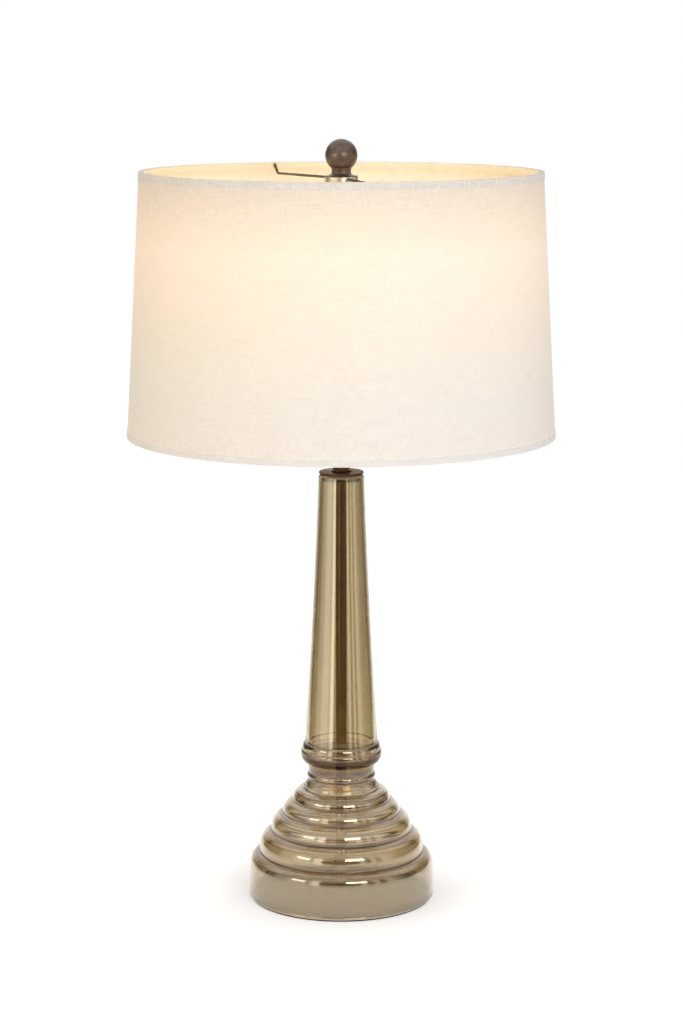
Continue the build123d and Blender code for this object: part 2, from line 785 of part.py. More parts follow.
def bulb_outline(inset):
    """Half outline of the envelope: a neck arc tangent to the base and to the sphere, then the sphere."""
    sphere = bulb_radius - inset
    neck_edge = (bulb_neck_radius - inset, bulb_base_top_z)
    turn = 2 * atan((bulb_radius - bulb_neck_radius) / (bulb_centre_z - bulb_base_top_z))
    shoulder = polar((0, bulb_centre_z), sphere, -turn)
    crown = (0, bulb_centre_z + sphere)
    TangentArc(neck_edge, shoulder, tangent=(0, 1))
    ThreePointArc(shoulder, (sphere, bulb_centre_z), crown)
    return neck_edge, crown


with BuildPart() as bulb_glass:
    with BuildSketch(Plane.XZ):
        with BuildLine():
            outer_neck, outer_crown = bulb_outline(0)
            inner_neck, inner_crown = bulb_outline(bulb_wall)
            Line(outer_crown, inner_crown)
            Line(outer_neck, inner_neck)
        make_face()
    revolve(axis=Axis.Z)
bulb_glass.part.label = "bulb_glass"
export_step(bulb_glass.part, "parts/bulb_glass.step")

stem_z = bulb_base_top_z - stem_sink
stem_flange_radius = inside - seat
with BuildPart() as bulb_stem:
    with BuildSketch(Plane.XZ):
        with BuildLine():
            Polyline((0, stem_z), (stem_flange_radius, stem_z), (stem_flange_radius, stem_z + stem_flange),
                     (stem_radius, stem_z + 2 * stem_flange), (stem_tip_radius, stem_z + stem_height),
                     (0, stem_z + stem_height), close=True)
        make_face()
    revolve(axis=Axis.Z)
bulb_stem.part.label = "bulb_stem"
export_step(bulb_stem.part, "parts/bulb_stem.step")

with BuildPart() as bulb_filament:
    with BuildLine():
        top_z = stem_z + stem_height + filament_rise
        foot_z = stem_z + stem_height
        FilletPolyline(
            (-stem_tip_radius / 2, 0, foot_z),
            (-stem_tip_radius / 2, 0, foot_z + lead_rise),
            (-filament_half_span, 0, top_z),
            (filament_half_span, 0, top_z),
            (stem_tip_radius / 2, 0, foot_z + lead_rise),
            (stem_tip_radius / 2, 0, foot_z),
            radius=lead_bend,
        )
    with BuildSketch(Plane.XY.offset(foot_z)):
        with Locations((-stem_tip_radius / 2, 0)):
            Circle(filament_wire_radius)
    sweep()
bulb_filament.part.label = "bulb_filament"
export_step(bulb_filament.part, "parts/bulb_filament.step")

# ---------------------------------------------------------------- harp, ferrules and swivel stud

straight_z = tongue_top_z + harp_straight
widest_z = straight_z + harp_flare_height
shoulder_foot_z = harp_top_z - harp_wire_radius - harp_shoulder_drop
with BuildPart() as harp:
    with BuildLine() as harp_path:
        FilletPolyline(
            (-harp_leg_x, 0, harp_bottom_z),
            (-harp_leg_x, 0, straight_z),
            (-harp_half_width, 0, widest_z),
            (-harp_half_width, 0, shoulder_foot_z),
            (-harp_top_half, 0, harp_top_z - harp_wire_radius),
            (harp_top_half, 0, harp_top_z - harp_wire_radius),
            (harp_half_width, 0, shoulder_foot_z),
            (harp_half_width, 0, widest_z),
            (harp_leg_x, 0, straight_z),
            (harp_leg_x, 0, harp_bottom_z),
            radius=(*harp_bends, *reversed(harp_bends)),
        )
    with BuildSketch(Plane.XY.offset(harp_bottom_z)):
        with Locations((-harp_leg_x, 0)):
            Circle(harp_wire_radius)
    sweep()
    with BuildSketch(Plane.XY.offset(eye_z)):
        Circle(harp_eye_radius)
    extrude(amount=harp_top_z - eye_z)
    with BuildSketch(Plane.XY.offset(eye_z)):
        Circle(stud_shank_radius + slip)
    extrude(amount=harp_top_z - eye_z, mode=Mode.SUBTRACT)
harp.part.label = "harp"
export_step(harp.part, "parts/harp.step")

# each ferrule is a sleeve round the leg and the tongue together
ferrule_centre = (saddle_half_span - saddle_thickness / 2 + harp_leg_x + harp_wire_radius) / 2
ferrule_bore = hypot(ferrule_centre - saddle_half_span + saddle_thickness / 2, tongue_width / 2) + seat
for side, name in ((-1, "harp_ferrule_left"), (1, "harp_ferrule_right")):
    with BuildPart() as harp_ferrule:
        with BuildSketch(Plane.XY.offset(tongue_z + seat)):
            with Locations((side * ferrule_centre, 0)):
                Circle(ferrule_bore + ferrule_wall)
                Circle(ferrule_bore, mode=Mode.SUBTRACT)
        extrude(amount=ferrule_height)
        rims = harp_ferrule.edges().filter_by(GeomType.CIRCLE).group_by(SortBy.RADIUS)[-1]
        fillet(rims, ferrule_wall / 3)
    harp_ferrule.part.label = name
    export_step(harp_ferrule.part, f"parts/{name}.step")

with BuildPart() as harp_stud:
    with BuildSketch(Plane.XZ):
        with BuildLine():
            Polyline(
                (0, eye_z - seat - stud_head_height),
                (stud_head_radius, eye_z - seat - stud_head_height),
                (stud_head_radius, eye_z - seat),
                (stud_shank_radius, eye_z - seat),
                (stud_shank_radius, stud_collar_z),
                (stud_collar_radius, stud_collar_z),
                (stud_collar_radius, stud_collar_z + stud_collar_height),
                (stud_radius, stud_collar_z + stud_collar_height),
                (stud_radius, stud_top_z - stud_chamfer),
                (stud_radius - stud_chamfer, stud_top_z),
                (0, stud_top_z),
                close=True,
            )
        make_face()
    revolve(axis=Axis.Z)
harp_stud.part.label = "harp_stud"
export_step(harp_stud.part, "parts/harp_stud.step")

# ---------------------------------------------------------------- spider and shade

with BuildPart() as spider_hub:
    with BuildSketch(Plane.XY.offset(hub_z)):
        Circle(hub_radius)
    extrude(amount=hub_height)
    fillet(spider_hub.edges().group_by(Axis.Z)[-1], hub_round)
    with BuildSketch(Plane.XY.offset(hub_z)):
        Circle(hub_radius - hub_wall)
    extrude(amount=hub_height - hub_roof, mode=Mode.SUBTRACT)
    with BuildSketch(Plane.XY.offset(hub_roof_z)):
        Circle(hub_hole_radius)
    extrude(amount=hub_roof, mode=Mode.SUBTRACT)
spider_hub.part.label = "spider_hub"
export_step(spider_hub.part, "parts/spider_hub.step")

arm_start_z = hub_top_z - arm_wire_radius - hub_round
arm_plane_start = hub_radius - weld
with BuildPart() as spider_arms:
    for azimuth in arm_azimuths:
        upright = Plane.XZ.rotated((0, 0, azimuth))
        with BuildLine(upright):
            FilletPolyline(
                (arm_plane_start, arm_start_z),
                (arm_elbow_radius, arm_start_z - arm_sag),
                (top_ring_radius - ring_wire_radius + weld, top_ring_z),
                radius=arm_elbow_round,
            )
        outward = Vector(cos(radians(azimuth)), sin(radians(azimuth)), 0)
        with BuildSketch(Plane(origin=outward * arm_plane_start + (0, 0, arm_start_z), z_dir=outward)):
            Circle(arm_wire_radius)
        sweep()
spider_arms.part.label = "spider_arms"
export_step(spider_arms.part, "parts/spider_arms.step")

for name, ring_radius_now, ring_level in (
    ("shade_top_ring", top_ring_radius, top_ring_z),
    ("shade_bottom_ring", bottom_ring_radius, bottom_ring_z),
):
    with BuildPart() as shade_ring:
        with BuildSketch(Plane.XZ):
            with Locations((ring_radius_now, ring_level)):
                Circle(ring_wire_radius)
        revolve(axis=Axis.Z)
    shade_ring.part.label = name
    export_step(shade_ring.part, f"parts/{name}.step")


def skin(outer_inset, inner_inset, low_z, high_z):
    """Closed section of one skin of the shade between two heights."""
    Polyline(
        (shade_radius(low_z, outer_inset), low_z),
        (shade_radius(high_z, outer_inset), high_z),
        (shade_radius(high_z, inner_inset), high_z),
        (shade_radius(low_z, inner_inset), low_z),
        close=True,
    )


with BuildPart() as shade_linen:
    with BuildSketch(Plane.XZ):
        with BuildLine():
            skin(0, linen_thickness, shade_z, shade_top_z)
        make_face()
    revolve(axis=Axis.Z)
shade_linen.part.label = "shade_linen"
export_step(shade_linen.part, "parts/shade_linen.step")

with BuildPart() as shade_liner:
    with BuildSketch(Plane.XZ):
        with BuildLine():
            skin(liner_inset, liner_inset + liner_thickness, shade_z, shade_top_z)
        make_face()
    revolve(axis=Axis.Z)
shade_liner.part.label = "shade_liner"
export_step(shade_liner.part, "parts/shade_liner.step")


def hem_section(edge_z, outside, inside, up):
    """Channel section of the tape folded over the shade's edge; up is 1 at the top, -1 below."""
    over = -glue_line
    crest = edge_z + up * glue_line
    outer_end = edge_z - up * outside
    inner_end = edge_z - up * inside
    Polyline(
        (shade_radius(outer_end, over - hem_thickness), outer_end),
        (shade_radius(crest, over - hem_thickness), crest + up * hem_thickness),
        (shade_radius(crest, hem_inset + hem_thickness), crest + up * hem_thickness),
        (shade_radius(inner_end, hem_inset + hem_thickness), inner_end),
        (shade_radius(inner_end, hem_inset), inner_end),
        (shade_radius(crest, hem_inset), crest),
        (shade_radius(crest, over), crest),
        (shade_radius(outer_end, over), outer_end),
        close=True,
    )


with BuildPart() as top_hem_tape:
    with BuildSketch(Plane.XZ):
        with BuildLine():
            hem_section(shade_top_z, top_hem_outside, top_hem_inside, 1)
        make_face()
    revolve(axis=Axis.Z)
    # the inner fold is slit where an arm comes up to the ring
    for azimuth in arm_azimuths:
        with BuildSketch(Plane.XY.offset(shade_top_z - top_hem_inside - ease)):
            with Locations(Location((0, 0, 0), (0, 0, azimuth))):
                with Locations((shade_radius(shade_top_z, hem_inset), 0)):
                    Rectangle(2 * ring_wire_radius, 2 * arm_wire_radius + 4 * ease)
        extrude(amount=top_hem_inside + ease, mode=Mode.SUBTRACT)
top_hem_tape.part.label = "top_hem_tape"
export_step(top_hem_tape.part, "parts/top_hem_tape.step")

with BuildPart() as bottom_hem_tape:
    with BuildSketch(Plane.XZ):
        with BuildLine():
            hem_section(shade_z, bottom_hem_outside, bottom_hem_inside, -1)
        make_face()
    revolve(axis=Axis.Z)
bottom_hem_tape.part.label = "bottom_hem_tape"
export_step(bottom_hem_tape.part, "parts/bottom_hem_tape.step")

# ---------------------------------------------------------------- finial

with BuildPart() as finial:
    ball_z = finial_z + finial_height - finial_ball_radius
    throat = polar((0, ball_z), finial_ball_radius, -acos(finial_throat_radius / finial_ball_radius))
    neck_low_z = finial_z + finial_neck_lift
    with BuildSketch(Plane.XZ):
        with BuildLine():
            Polyline((0, finial_z), (finial_skirt_radius, finial_z),
                     (finial_skirt_radius, finial_z + finial_skirt_edge))
            EllipticalCenterArc((finial_skirt_radius, neck_low_z), finial_skirt_radius - finial_neck_radius,
                                finial_neck_lift - finial_skirt_edge, start_angle=180, arc_size=90)
            Line((finial_neck_radius, neck_low_z), throat)
            ThreePointArc(throat, (finial_ball_radius, ball_z), (0, finial_z + finial_height))
            Line((0, finial_z + finial_height), (0, finial_z))
        make_face()
    revolve(axis=Axis.Z)
    with BuildSketch(Plane.XY.offset(finial_z)):
        Circle(stud_radius + slip)
    extrude(amount=stud_top_z - finial_z + finial_bore_spare, mode=Mode.SUBTRACT)
finial.part.label = "finial"
export_step(finial.part, "parts/finial.step")

print("shade bottom", round(shade_z, 1), "shade top", round(shade_top_z, 1),
      "height", round(finial_z + finial_height, 1))
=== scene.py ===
"""Candlestick table lamp: finishes, modelled pieces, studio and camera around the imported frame.

Places are in metres in the frame's own axes, with +Z up the lamp and -Y to the front. The sizes
in the lamp's and the finishes' dataclasses are in millimetres, and the studio's are in metres.
"""

from __future__ import annotations

import json
import logging
import math
from dataclasses import dataclass
from enum import Enum
from typing import Any, Sequence

import bpy
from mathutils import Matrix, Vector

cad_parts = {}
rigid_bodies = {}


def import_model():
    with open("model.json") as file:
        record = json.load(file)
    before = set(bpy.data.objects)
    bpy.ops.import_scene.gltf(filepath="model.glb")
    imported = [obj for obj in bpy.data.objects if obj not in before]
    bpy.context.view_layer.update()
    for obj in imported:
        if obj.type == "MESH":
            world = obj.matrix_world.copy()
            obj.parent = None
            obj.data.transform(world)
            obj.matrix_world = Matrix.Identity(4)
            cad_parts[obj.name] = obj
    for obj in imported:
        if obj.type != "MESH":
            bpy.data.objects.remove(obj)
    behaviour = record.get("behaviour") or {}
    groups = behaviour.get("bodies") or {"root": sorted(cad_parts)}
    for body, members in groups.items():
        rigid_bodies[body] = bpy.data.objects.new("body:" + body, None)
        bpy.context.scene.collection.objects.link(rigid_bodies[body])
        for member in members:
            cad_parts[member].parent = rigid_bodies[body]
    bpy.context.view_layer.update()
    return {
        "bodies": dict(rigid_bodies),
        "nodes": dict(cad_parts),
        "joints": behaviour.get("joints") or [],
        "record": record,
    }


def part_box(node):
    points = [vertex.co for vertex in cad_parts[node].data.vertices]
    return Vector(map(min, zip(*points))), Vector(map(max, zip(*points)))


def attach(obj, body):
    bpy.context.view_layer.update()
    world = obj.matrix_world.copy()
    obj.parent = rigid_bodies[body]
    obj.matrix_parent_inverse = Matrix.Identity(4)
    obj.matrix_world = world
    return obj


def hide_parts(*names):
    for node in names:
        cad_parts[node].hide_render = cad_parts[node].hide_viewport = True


LOG = logging.getLogger("lamp")
MM = 0.001
CREASE = math.radians(32)
# Points closer than this many metres are joined: in a finished mesh, and in an outline.
MERGE = 1e-6
MERGE_LINE = 1e-7
# A place times this is its level part.
LEVEL = (1, 1, 0)
WHITE = (1, 1, 1, 1)

Point = tuple[float, float]
Span = tuple[float, float]
Colour = tuple[float, float, float, float]
Shades = Sequence[tuple[float, str]]
Levels = tuple[tuple[float, float], ...]


class Body(Enum):
    """The bodies of the frame that pieces ride on."""

    LAMP = "lamp"
    SWITCH = "switch"
    BULB = "bulb"
    HARP = "harp_bow"
    FERRULE_LEFT = "ferrule_left"
    FERRULE_RIGHT = "ferrule_right"
    STUD = "stud"
    SHADE = "shade"
    FINIAL = "finial_ball"


# ------------------------------------------------------------------ colour and node helpers


def linear(code: str) -> Colour:
    """Turns an sRGB hex code into a linear colour.

    Args:
        code: six hex digits, such as "c8b48a".

    Returns:
        Red, green, blue and an alpha of 1.
    """
    parts = [int(code[i : i + 2], 16) / 255 for i in (0, 2, 4)]
    red, green, blue = (p / 12.92 if p <= 0.04045 else ((p + 0.055) / 1.055) ** 2.4 for p in parts)
    return (red, green, blue, 1.0)


def grey(level: float) -> str:
    """Turns a linear level from 0 to 1 into the sRGB hex code of a grey."""
    share = 12.92 * level if level <= 0.0031308 else 1.055 * level ** (1 / 2.4) - 0.055
    return f"{round(255 * share):02x}" * 3


def greys(levels: Levels) -> list[tuple[float, str]]:
    """Turns levels along a length into a colour ramp's stops, at the same places."""
    return [(place, grey(level)) for place, level in levels]


def set_inputs(tree: bpy.types.NodeTree, node: Any, links: dict[Any, Any]) -> None:
    """Sets or links a node's inputs.

    Args:
        tree: the node's tree.
        node: the node.
        links: for each input, by name or number, a value or another node's output socket.
    """
    for key, value in links.items():
        if isinstance(value, bpy.types.NodeSocket):
            tree.links.new(value, node.inputs[key])
        else:
            node.inputs[key].default_value = value


def add_node(tree: bpy.types.NodeTree, kind: str, links: dict[Any, Any] | None = None,
             stops: Shades = (), out: int | str = 0, **settings: Any) -> Any:
    """Adds a shader node with its settings and its links.

    Args:
        tree: the node tree that it goes into.
        kind: the node's type name, without ShaderNode.
        links: for each input, by name or number, a value or another node's output socket.
        stops: a colour ramp's places from 0 to 1 with their hex colours, in order.
        out: the wanted output, by name or number.
        settings: properties of the node itself.

    Returns:
        The socket of that output.
    """
    node = tree.nodes.new(f"ShaderNode{kind}")
    for name, value in settings.items():
        setattr(node, name, value)
    set_inputs(tree, node, links or {})
    if stops:
        elements = node.color_ramp.elements
        while len(elements) < len(stops):
            elements.new(0.5)
        for element, (place, code) in zip(elements, stops):
            element.position = place
            element.color = linear(code)
    return node.outputs[out]


def colour_along(tree: bpy.types.NodeTree, place: Any, low: float, high: float,
                 stops: Shades) -> Any:
    """Adds a colour ramp along a length.

    Args:
        tree: the node tree.
        place: the socket of the place along it, in metres.
        low: where the ramp starts, in millimetres.
        high: where it ends.
        stops: places in millimetres with their hex colours.

    Returns:
        The colour's socket.
    """
    share = add_node(tree, "MapRange", {
        "Value": place, "From Min": low * MM, "From Max": high * MM})
    even = [((at - low) / (high - low), code) for at, code in stops]
    return add_node(tree, "ValToRGB", {"Fac": share}, even)


def from_axis(tree: bpy.types.NodeTree, place: Any) -> Any:
    """Measures how far each Object coordinate is from the lamp's axis, in metres, as a socket."""
    flat = add_node(tree, "VectorMath", {0: place, 1: LEVEL}, operation="MULTIPLY")
    return add_node(tree, "VectorMath", {0: flat}, out="Value", operation="LENGTH")


def lumpy(tree: bpy.types.NodeTree, place: Any, size_mm: float, depth_mm: float,
          strength: Any) -> Any:
    """Adds the bump of small soft lumps.

    Args:
        tree: the node tree.
        place: the socket of Object coordinates.
        size_mm: how wide the lumps are.
        depth_mm: how deep they are.
        strength: of the bump, as a number or a socket.

    Returns:
        The socket of the surface's direction.
    """
    lumps = add_node(tree, "TexNoise", {"Vector": place, "Scale": 1 / (size_mm * MM)})
    return add_node(tree, "Bump", {
        "Height": lumps, "Strength": strength, "Distance": depth_mm * MM})


def new_material(name: str) -> tuple[bpy.types.Material, bpy.types.NodeTree, Any, Any]:
    """Starts a node material.

    Args:
        name: the material's name, after what it is made of.

    Returns:
        The material, its tree, its Principled node and the socket of Object coordinates.
    """
    material = bpy.data.materials.new(name)
    material.use_nodes = True
    tree = material.node_tree
    place = add_node(tree, "TexCoord", out="Object")
    return material, tree, tree.nodes["Principled BSDF"], place


# ------------------------------------------------------------------ kinds of finish


@dataclass(frozen=True)
class Metal:
    """A metal or plated surface: a mottled colour, uneven polish and fine marks in the surface.

    Such marks are usually under 0.2 mm, too fine for the picture, so grain_mm draws them coarser.
    Below pale_mm the surface may have one paler colour, which is painted light, and a satin polish.
    """

    name: str
    light: str
    dark: str
    roughness: float
    metallic: float = 1.0
    mottle_mm: float = 9.0
    mottle_tones: Span = (0.35, 0.65)
    polish_tones: Span = (0.3, 0.7)
    polish_spread: float = 0.08
    grain_mm: float = 0.8
    grain_depth_mm: float = 0.01
    grain_strength: float = 0.6
    coat: float = 0.0
    coat_roughness: float = 0.15
    pale: str = ""
    pale_mm: float = 0.0
    pale_roughness: float = 0.35

    def material(self) -> bpy.types.Material:
        """Builds the material from its sizes.

        Returns:
            The material.
        """
        material, tree, shader, place = new_material(self.name)
        patches = add_node(tree, "TexNoise", {
            "Vector": place, "Scale": 1 / (self.mottle_mm * MM), "Detail": 4.0, "Roughness": 0.6})
        colour = add_node(tree, "ValToRGB", {"Fac": patches},
                          tuple(zip(self.mottle_tones, (self.dark, self.light))))
        polish = add_node(tree, "MapRange", {
            "Value": patches, "From Min": self.polish_tones[0], "From Max": self.polish_tones[1],
            "To Min": self.roughness + self.polish_spread,
            "To Max": self.roughness - self.polish_spread / 2})
        # The paler colour below pale_mm is painted light.
        if self.pale:
            height = add_node(tree, "SeparateXYZ", {"Vector": place}, out="Z")
            low = add_node(tree, "Math", {0: height, 1: self.pale_mm * MM}, operation="LESS_THAN")
            colour = add_node(tree, "Mix", {0: low, 6: colour, 7: linear(self.pale)}, out=2,
                              data_type="RGBA")
            polish = add_node(tree, "Mix", {0: low, 2: polish, 3: self.pale_roughness})
        set_inputs(tree, shader, {
            "Base Color": colour, "Roughness": polish, "Metallic": self.metallic,
            "Normal": lumpy(tree, place, self.grain_mm, self.grain_depth_mm, self.grain_strength),
            "Coat Weight": self.coat, "Coat Roughness": self.coat_roughness})
        return material


@dataclass(frozen=True)
class Moulding:
    """A moulded plastic, rubber or ceramic surface: faint flow marks and a fine matt grain.

    Such grain is usually under 0.1 mm, too fine for the picture, so grain_mm draws it coarser.
    The flow marks are flow_grains times as large.
    """

    name: str
    light: str
    dark: str
    roughness: float
    grain_mm: float = 0.5
    grain_depth_mm: float = 0.02
    grain_strength: float = 0.5
    flow_grains: float = 6.0
    flow_tones: Span = (0.3, 0.7)
    ior: float = 1.5
    transmission: float = 0.0

    def material(self) -> bpy.types.Material:
        """Builds the material from its sizes.

        Returns:
            The material.
        """
        material, tree, shader, place = new_material(self.name)
        flow = add_node(tree, "TexNoise", {
            "Vector": place, "Scale": 1 / (self.flow_grains * self.grain_mm * MM), "Detail": 3.0})
        colour = add_node(tree, "ValToRGB", {"Fac": flow},
                          tuple(zip(self.flow_tones, (self.dark, self.light))))
        set_inputs(tree, shader, {
            "Base Color": colour, "Roughness": self.roughness, "IOR": self.ior,
            "Normal": lumpy(tree, place, self.grain_mm, self.grain_depth_mm, self.grain_strength),
            "Transmission Weight": self.transmission})
        return material


@dataclass(frozen=True)
class LustreGlass:
    """Blown soda-lime glass with a fired metal lustre: a smoky champagne half mirror.

    The lustre lies thin on the column and the foot. Each crease, the ring's grooves and the bead's
    underside are darker brown, which is painted shade. Fine mould lines ring the foot, olive and
    golden by turns: a shallow relief about 2 mm wide and 4.6 mm apart, as the real ones measure,
    whose olive colour is painted shade and whose golden colour is a painted reflection of the lit
    shade. The ripples of the blown wall are larger, and deepest in the foot. Places in the tables
    are heights in millimetres.
    """

    name: str = "lustre_glass"
    height: float = 420.0
    # The dark brown stops at each crease, round the ring and under the bead are painted shade.
    shades: Shades = (
        (0.0, "d3c7b1"), (34.0, "d3c7af"), (43.0, "c6b28c"), (45.5, "7c5e3e"), (49.0, "d5c5a2"),
        (62.0, "d6c6a2"), (66.2, "ab9068"), (67.8, "765636"), (71.0, "e8decb"), (82.5, "d0be96"),
        (85.0, "80623c"), (88.0, "e4dac2"), (95.0, "d8c8a4"), (97.3, "8e6e48"), (101.0, "eee6d2"),
        (113.0, "d0c09c"), (117.6, "b89a6c"), (119.2, "4e3a2c"), (120.8, "6a5140"),
        (122.0, "c4a883"), (125.0, "b89c78"), (126.5, "5e473a"), (129.2, "634c3c"),
        (130.5, "b09560"), (133.4, "b89c68"), (134.2, "4e382c"), (142.5, "584234"),
        (144.2, "cbb998"), (152.0, "dacca8"), (180.0, "d3c6a6"), (420.0, "d3c6a6"),
    )
    inside_shade: str = "d3c6a6"
    inside_mm: float = 30.0
    lustre: Levels = (
        (0.0, 0.18), (32.0, 0.18), (44.0, 0.08), (100.0, 0.05), (117.0, 0.12), (132.0, 0.12),
        (134.0, 0.2), (142.0, 0.2), (145.0, 0.12), (200.0, 0.13), (420.0, 0.13),
    )
    coat: Levels = (
        (0.0, 0.5), (40.0, 0.5), (48.0, 0.6), (85.0, 0.75), (117.0, 0.75), (120.0, 0.85),
        (127.0, 0.85), (132.0, 0.4), (134.0, 0.05), (142.0, 0.05), (145.0, 0.5), (420.0, 0.5),
    )
    # Olive lines are painted shade, golden ones a painted reflection of the lit shade.
    painted_line_shades: Shades = ((0.30, "84724c"), (0.38, "ffffff"), (0.60, "ffffff"), (0.68, "ccb078"))
    line_mm: float = 4.2
    line_depth_mm: float = 0.16
    lined: Levels = ((36.0, 0.0), (44.0, 1.0), (106.0, 1.0), (118.0, 0.0))
    reflected: str = "dccab0"
    ior: float = 1.52
    roughness: float = 0.015
    coat_ior: float = 1.9
    wave_mm: float = 16.0
    wave_depth_mm: float = 0.40
    waves: Levels = ((0.0, 0.9), (40.0, 0.9), (60.0, 0.4), (150.0, 0.25), (420.0, 0.25))

    def material(self) -> bpy.types.Material:
        """Builds the material from its sizes.

        Returns:
            The material.
        """
        material, tree, shader, place = new_material(self.name)
        height = add_node(tree, "SeparateXYZ", {"Vector": place}, out="Z")
        tables = (greys(levels) for levels in (self.lustre, self.coat, self.lined, self.waves))
        colour, lustre, coat, lined, waves = (
            colour_along(tree, height, 0.0, self.height, stops) for stops in (self.shades, *tables))

        # Up the wall from the foot's edge: height less radius grows along every step and round.
        radius = from_axis(tree, place)
        along = add_node(tree, "Math", {0: height, 1: radius}, operation="SUBTRACT")
        # Fine lines up the wall: a shallow relief, coloured with painted shade and a painted
        # reflection.
        lines = add_node(tree, "TexNoise", {
            "W": along, "Scale": 1 / (self.line_mm * MM), "Detail": 1.0}, noise_dimensions="1D")
        painted_line_colour = add_node(tree, "ValToRGB", {"Fac": lines}, self.painted_line_shades)
        inside = add_node(tree, "Math", {0: radius, 1: self.inside_mm * MM},
                          operation="LESS_THAN")
        colour = add_node(tree, "Mix", {0: inside, 6: colour, 7: linear(self.inside_shade)},
                          out=2, data_type="RGBA")
        colour = add_node(tree, "Mix", {0: lined, 6: colour, 7: painted_line_colour}, out=2,
                          data_type="RGBA", blend_type="MULTIPLY")
        ripples = lumpy(tree, place, self.wave_mm, self.wave_depth_mm, waves)
        bump = add_node(tree, "Bump", {
            "Height": lines, "Strength": lined, "Normal": ripples,
            "Distance": self.line_depth_mm * MM})
        set_inputs(tree, shader, {
            "Base Color": colour, "Metallic": lustre, "Coat Weight": coat, "Normal": bump,
            "Roughness": self.roughness, "IOR": self.ior, "Transmission Weight": 1.0,
            "Specular Tint": linear(self.reflected), "Coat IOR": self.coat_ior,
            "Coat Roughness": self.roughness})
        return material


@dataclass(frozen=True)
class Linen:
    """Plain-woven slubbed linen with a painted glow of the bulb: weft streaks over a finer warp.

    Its map is in metres, round the shade and up it. Such threads are usually 0.5 mm, too fine for
    the picture, so the streaks are drawn about twice as thick. The painted glow is brightest level
    with the bulb, warm above it and paler below, by height in millimetres. By place along X it is
    painted a little yellower on the left and dimmer at both sides. A face that looks into the shade
    may have its own painted glow: it is told from the outer one by its distance from the shade's
    sloping wall.
    """

    name: str
    light: str
    dark: str
    glow: float
    # The painted glow's colour by height, brightest level with the bulb.
    glow_shades: Shades = (
        (456.0, "d6c4b8"), (505.0, "d6c8b9"), (567.0, "e7d0b3"), (610.0, "f9d7b5"),
        (637.0, "ffdcb8"), (660.0, "f2cfa4"), (690.0, "d6b48c"), (704.0, "c2a17a"),
    )
    glow_spread: Span = (0.93, 1.05)
    # Painted glow by side: a little yellower on the left, dimmer at both sides.
    side_shades: Shades = (
        (-205.0, "f6ecd2"), (-160.0, "fff5dc"), (60.0, "ffffff"), (150.0, "ffffff"),
        (205.0, "efebe7"),
    )
    side_mm: float = 210.0
    top_mm: float = 720.0
    weft_mm: float = 0.95
    weft_run_mm: float = 10.0
    warp_mm: float = 1.0
    weft_share: float = 0.45
    warp_share: float = 0.38
    slub_share: float = 0.17
    tones: Span = (0.38, 0.6)
    depth_mm: float = 0.12
    bump: float = 0.7
    # Colour of the painted glow on faces that look into the shade.
    inner_glow: str = ""
    wall_at_floor_mm: float = 228.2
    wall_lean: float = 0.0549
    wall_mm: float = 0.6
    roughness: float = 0.9
    sheen: float = 0.1

    def cloth(self, tree: bpy.types.NodeTree) -> Any:
        """Adds the weave: weft, warp and slubs together.

        The warp's streaks run twice as far as the weft's. A slub is twice as thick as the weft
        and runs three times as far.

        Args:
            tree: the node tree.

        Returns:
            The socket of the weave's height, from 0 to 1.
        """
        flat = add_node(tree, "UVMap", uv_map="UVMap")
        run, weft, warp = self.weft_run_mm, self.weft_mm, self.warp_mm
        woven: Any = 0.0
        for across_mm, up_mm, detail, share in (
                (run, weft, 2.0, self.weft_share), (warp, 2 * run, 1.0, self.warp_share),
                (3 * run, 2 * weft, 0.0, self.slub_share)):
            stretched = add_node(tree, "Mapping", {
                "Vector": flat, "Scale": (1 / (across_mm * MM), 1 / (up_mm * MM), 1.0)})
            threads = add_node(tree, "TexNoise", {
                "Vector": stretched, "Scale": 1.0, "Detail": detail})
            woven = add_node(tree, "Math", {0: threads, 1: share, 2: woven},
                             operation="MULTIPLY_ADD")
        return woven

    def painted_glow(self, tree: bpy.types.NodeTree, place: Any) -> Any:
        """Adds the painted glow's colour by height, by side and by face.

        Args:
            tree: the node tree.
            place: the socket of Object coordinates.

        Returns:
            The colour's socket.
        """
        axes = add_node(tree, "SeparateXYZ", {"Vector": place}).node.outputs
        painted_glow = colour_along(tree, axes["Z"], 0.0, self.top_mm, self.glow_shades)
        sides = colour_along(tree, axes["X"], -self.side_mm, self.side_mm, self.side_shades)
        painted_glow = add_node(tree, "Mix", {0: 1.0, 6: painted_glow, 7: sides}, out=2, data_type="RGBA",
                          blend_type="MULTIPLY")
        if self.inner_glow:
            upright = add_node(tree, "Math", {
                0: axes["Z"], 1: self.wall_lean, 2: from_axis(tree, place)},
                operation="MULTIPLY_ADD")
            inner = add_node(tree, "Math", {
                0: upright, 1: (self.wall_at_floor_mm - self.wall_mm) * MM}, operation="LESS_THAN")
            painted_glow = add_node(tree, "Mix", {0: inner, 6: painted_glow, 7: linear(self.inner_glow)},
                              out=2, data_type="RGBA")
        return painted_glow

    def material(self) -> bpy.types.Material:
        """Builds the material from its sizes.

        Returns:
            The material.
        """
        material, tree, shader, place = new_material(self.name)
        cloth = self.cloth(tree)
        colour = add_node(tree, "ValToRGB", {"Fac": cloth},
                          tuple(zip(self.tones, (self.dark, self.light))))
        through = add_node(tree, "MapRange", {
            "Value": cloth, "From Min": self.tones[0], "From Max": self.tones[1],
            "To Min": self.glow_spread[0] * self.glow, "To Max": self.glow_spread[1] * self.glow})
        bump = add_node(tree, "Bump", {
            "Height": cloth, "Strength": self.bump, "Distance": self.depth_mm * MM})
        set_inputs(tree, shader, {
            "Base Color": colour, "Emission Color": self.painted_glow(tree, place),
            "Emission Strength": through, "Normal": bump, "Roughness": self.roughness,
            "Sheen Weight": self.sheen})
        return material


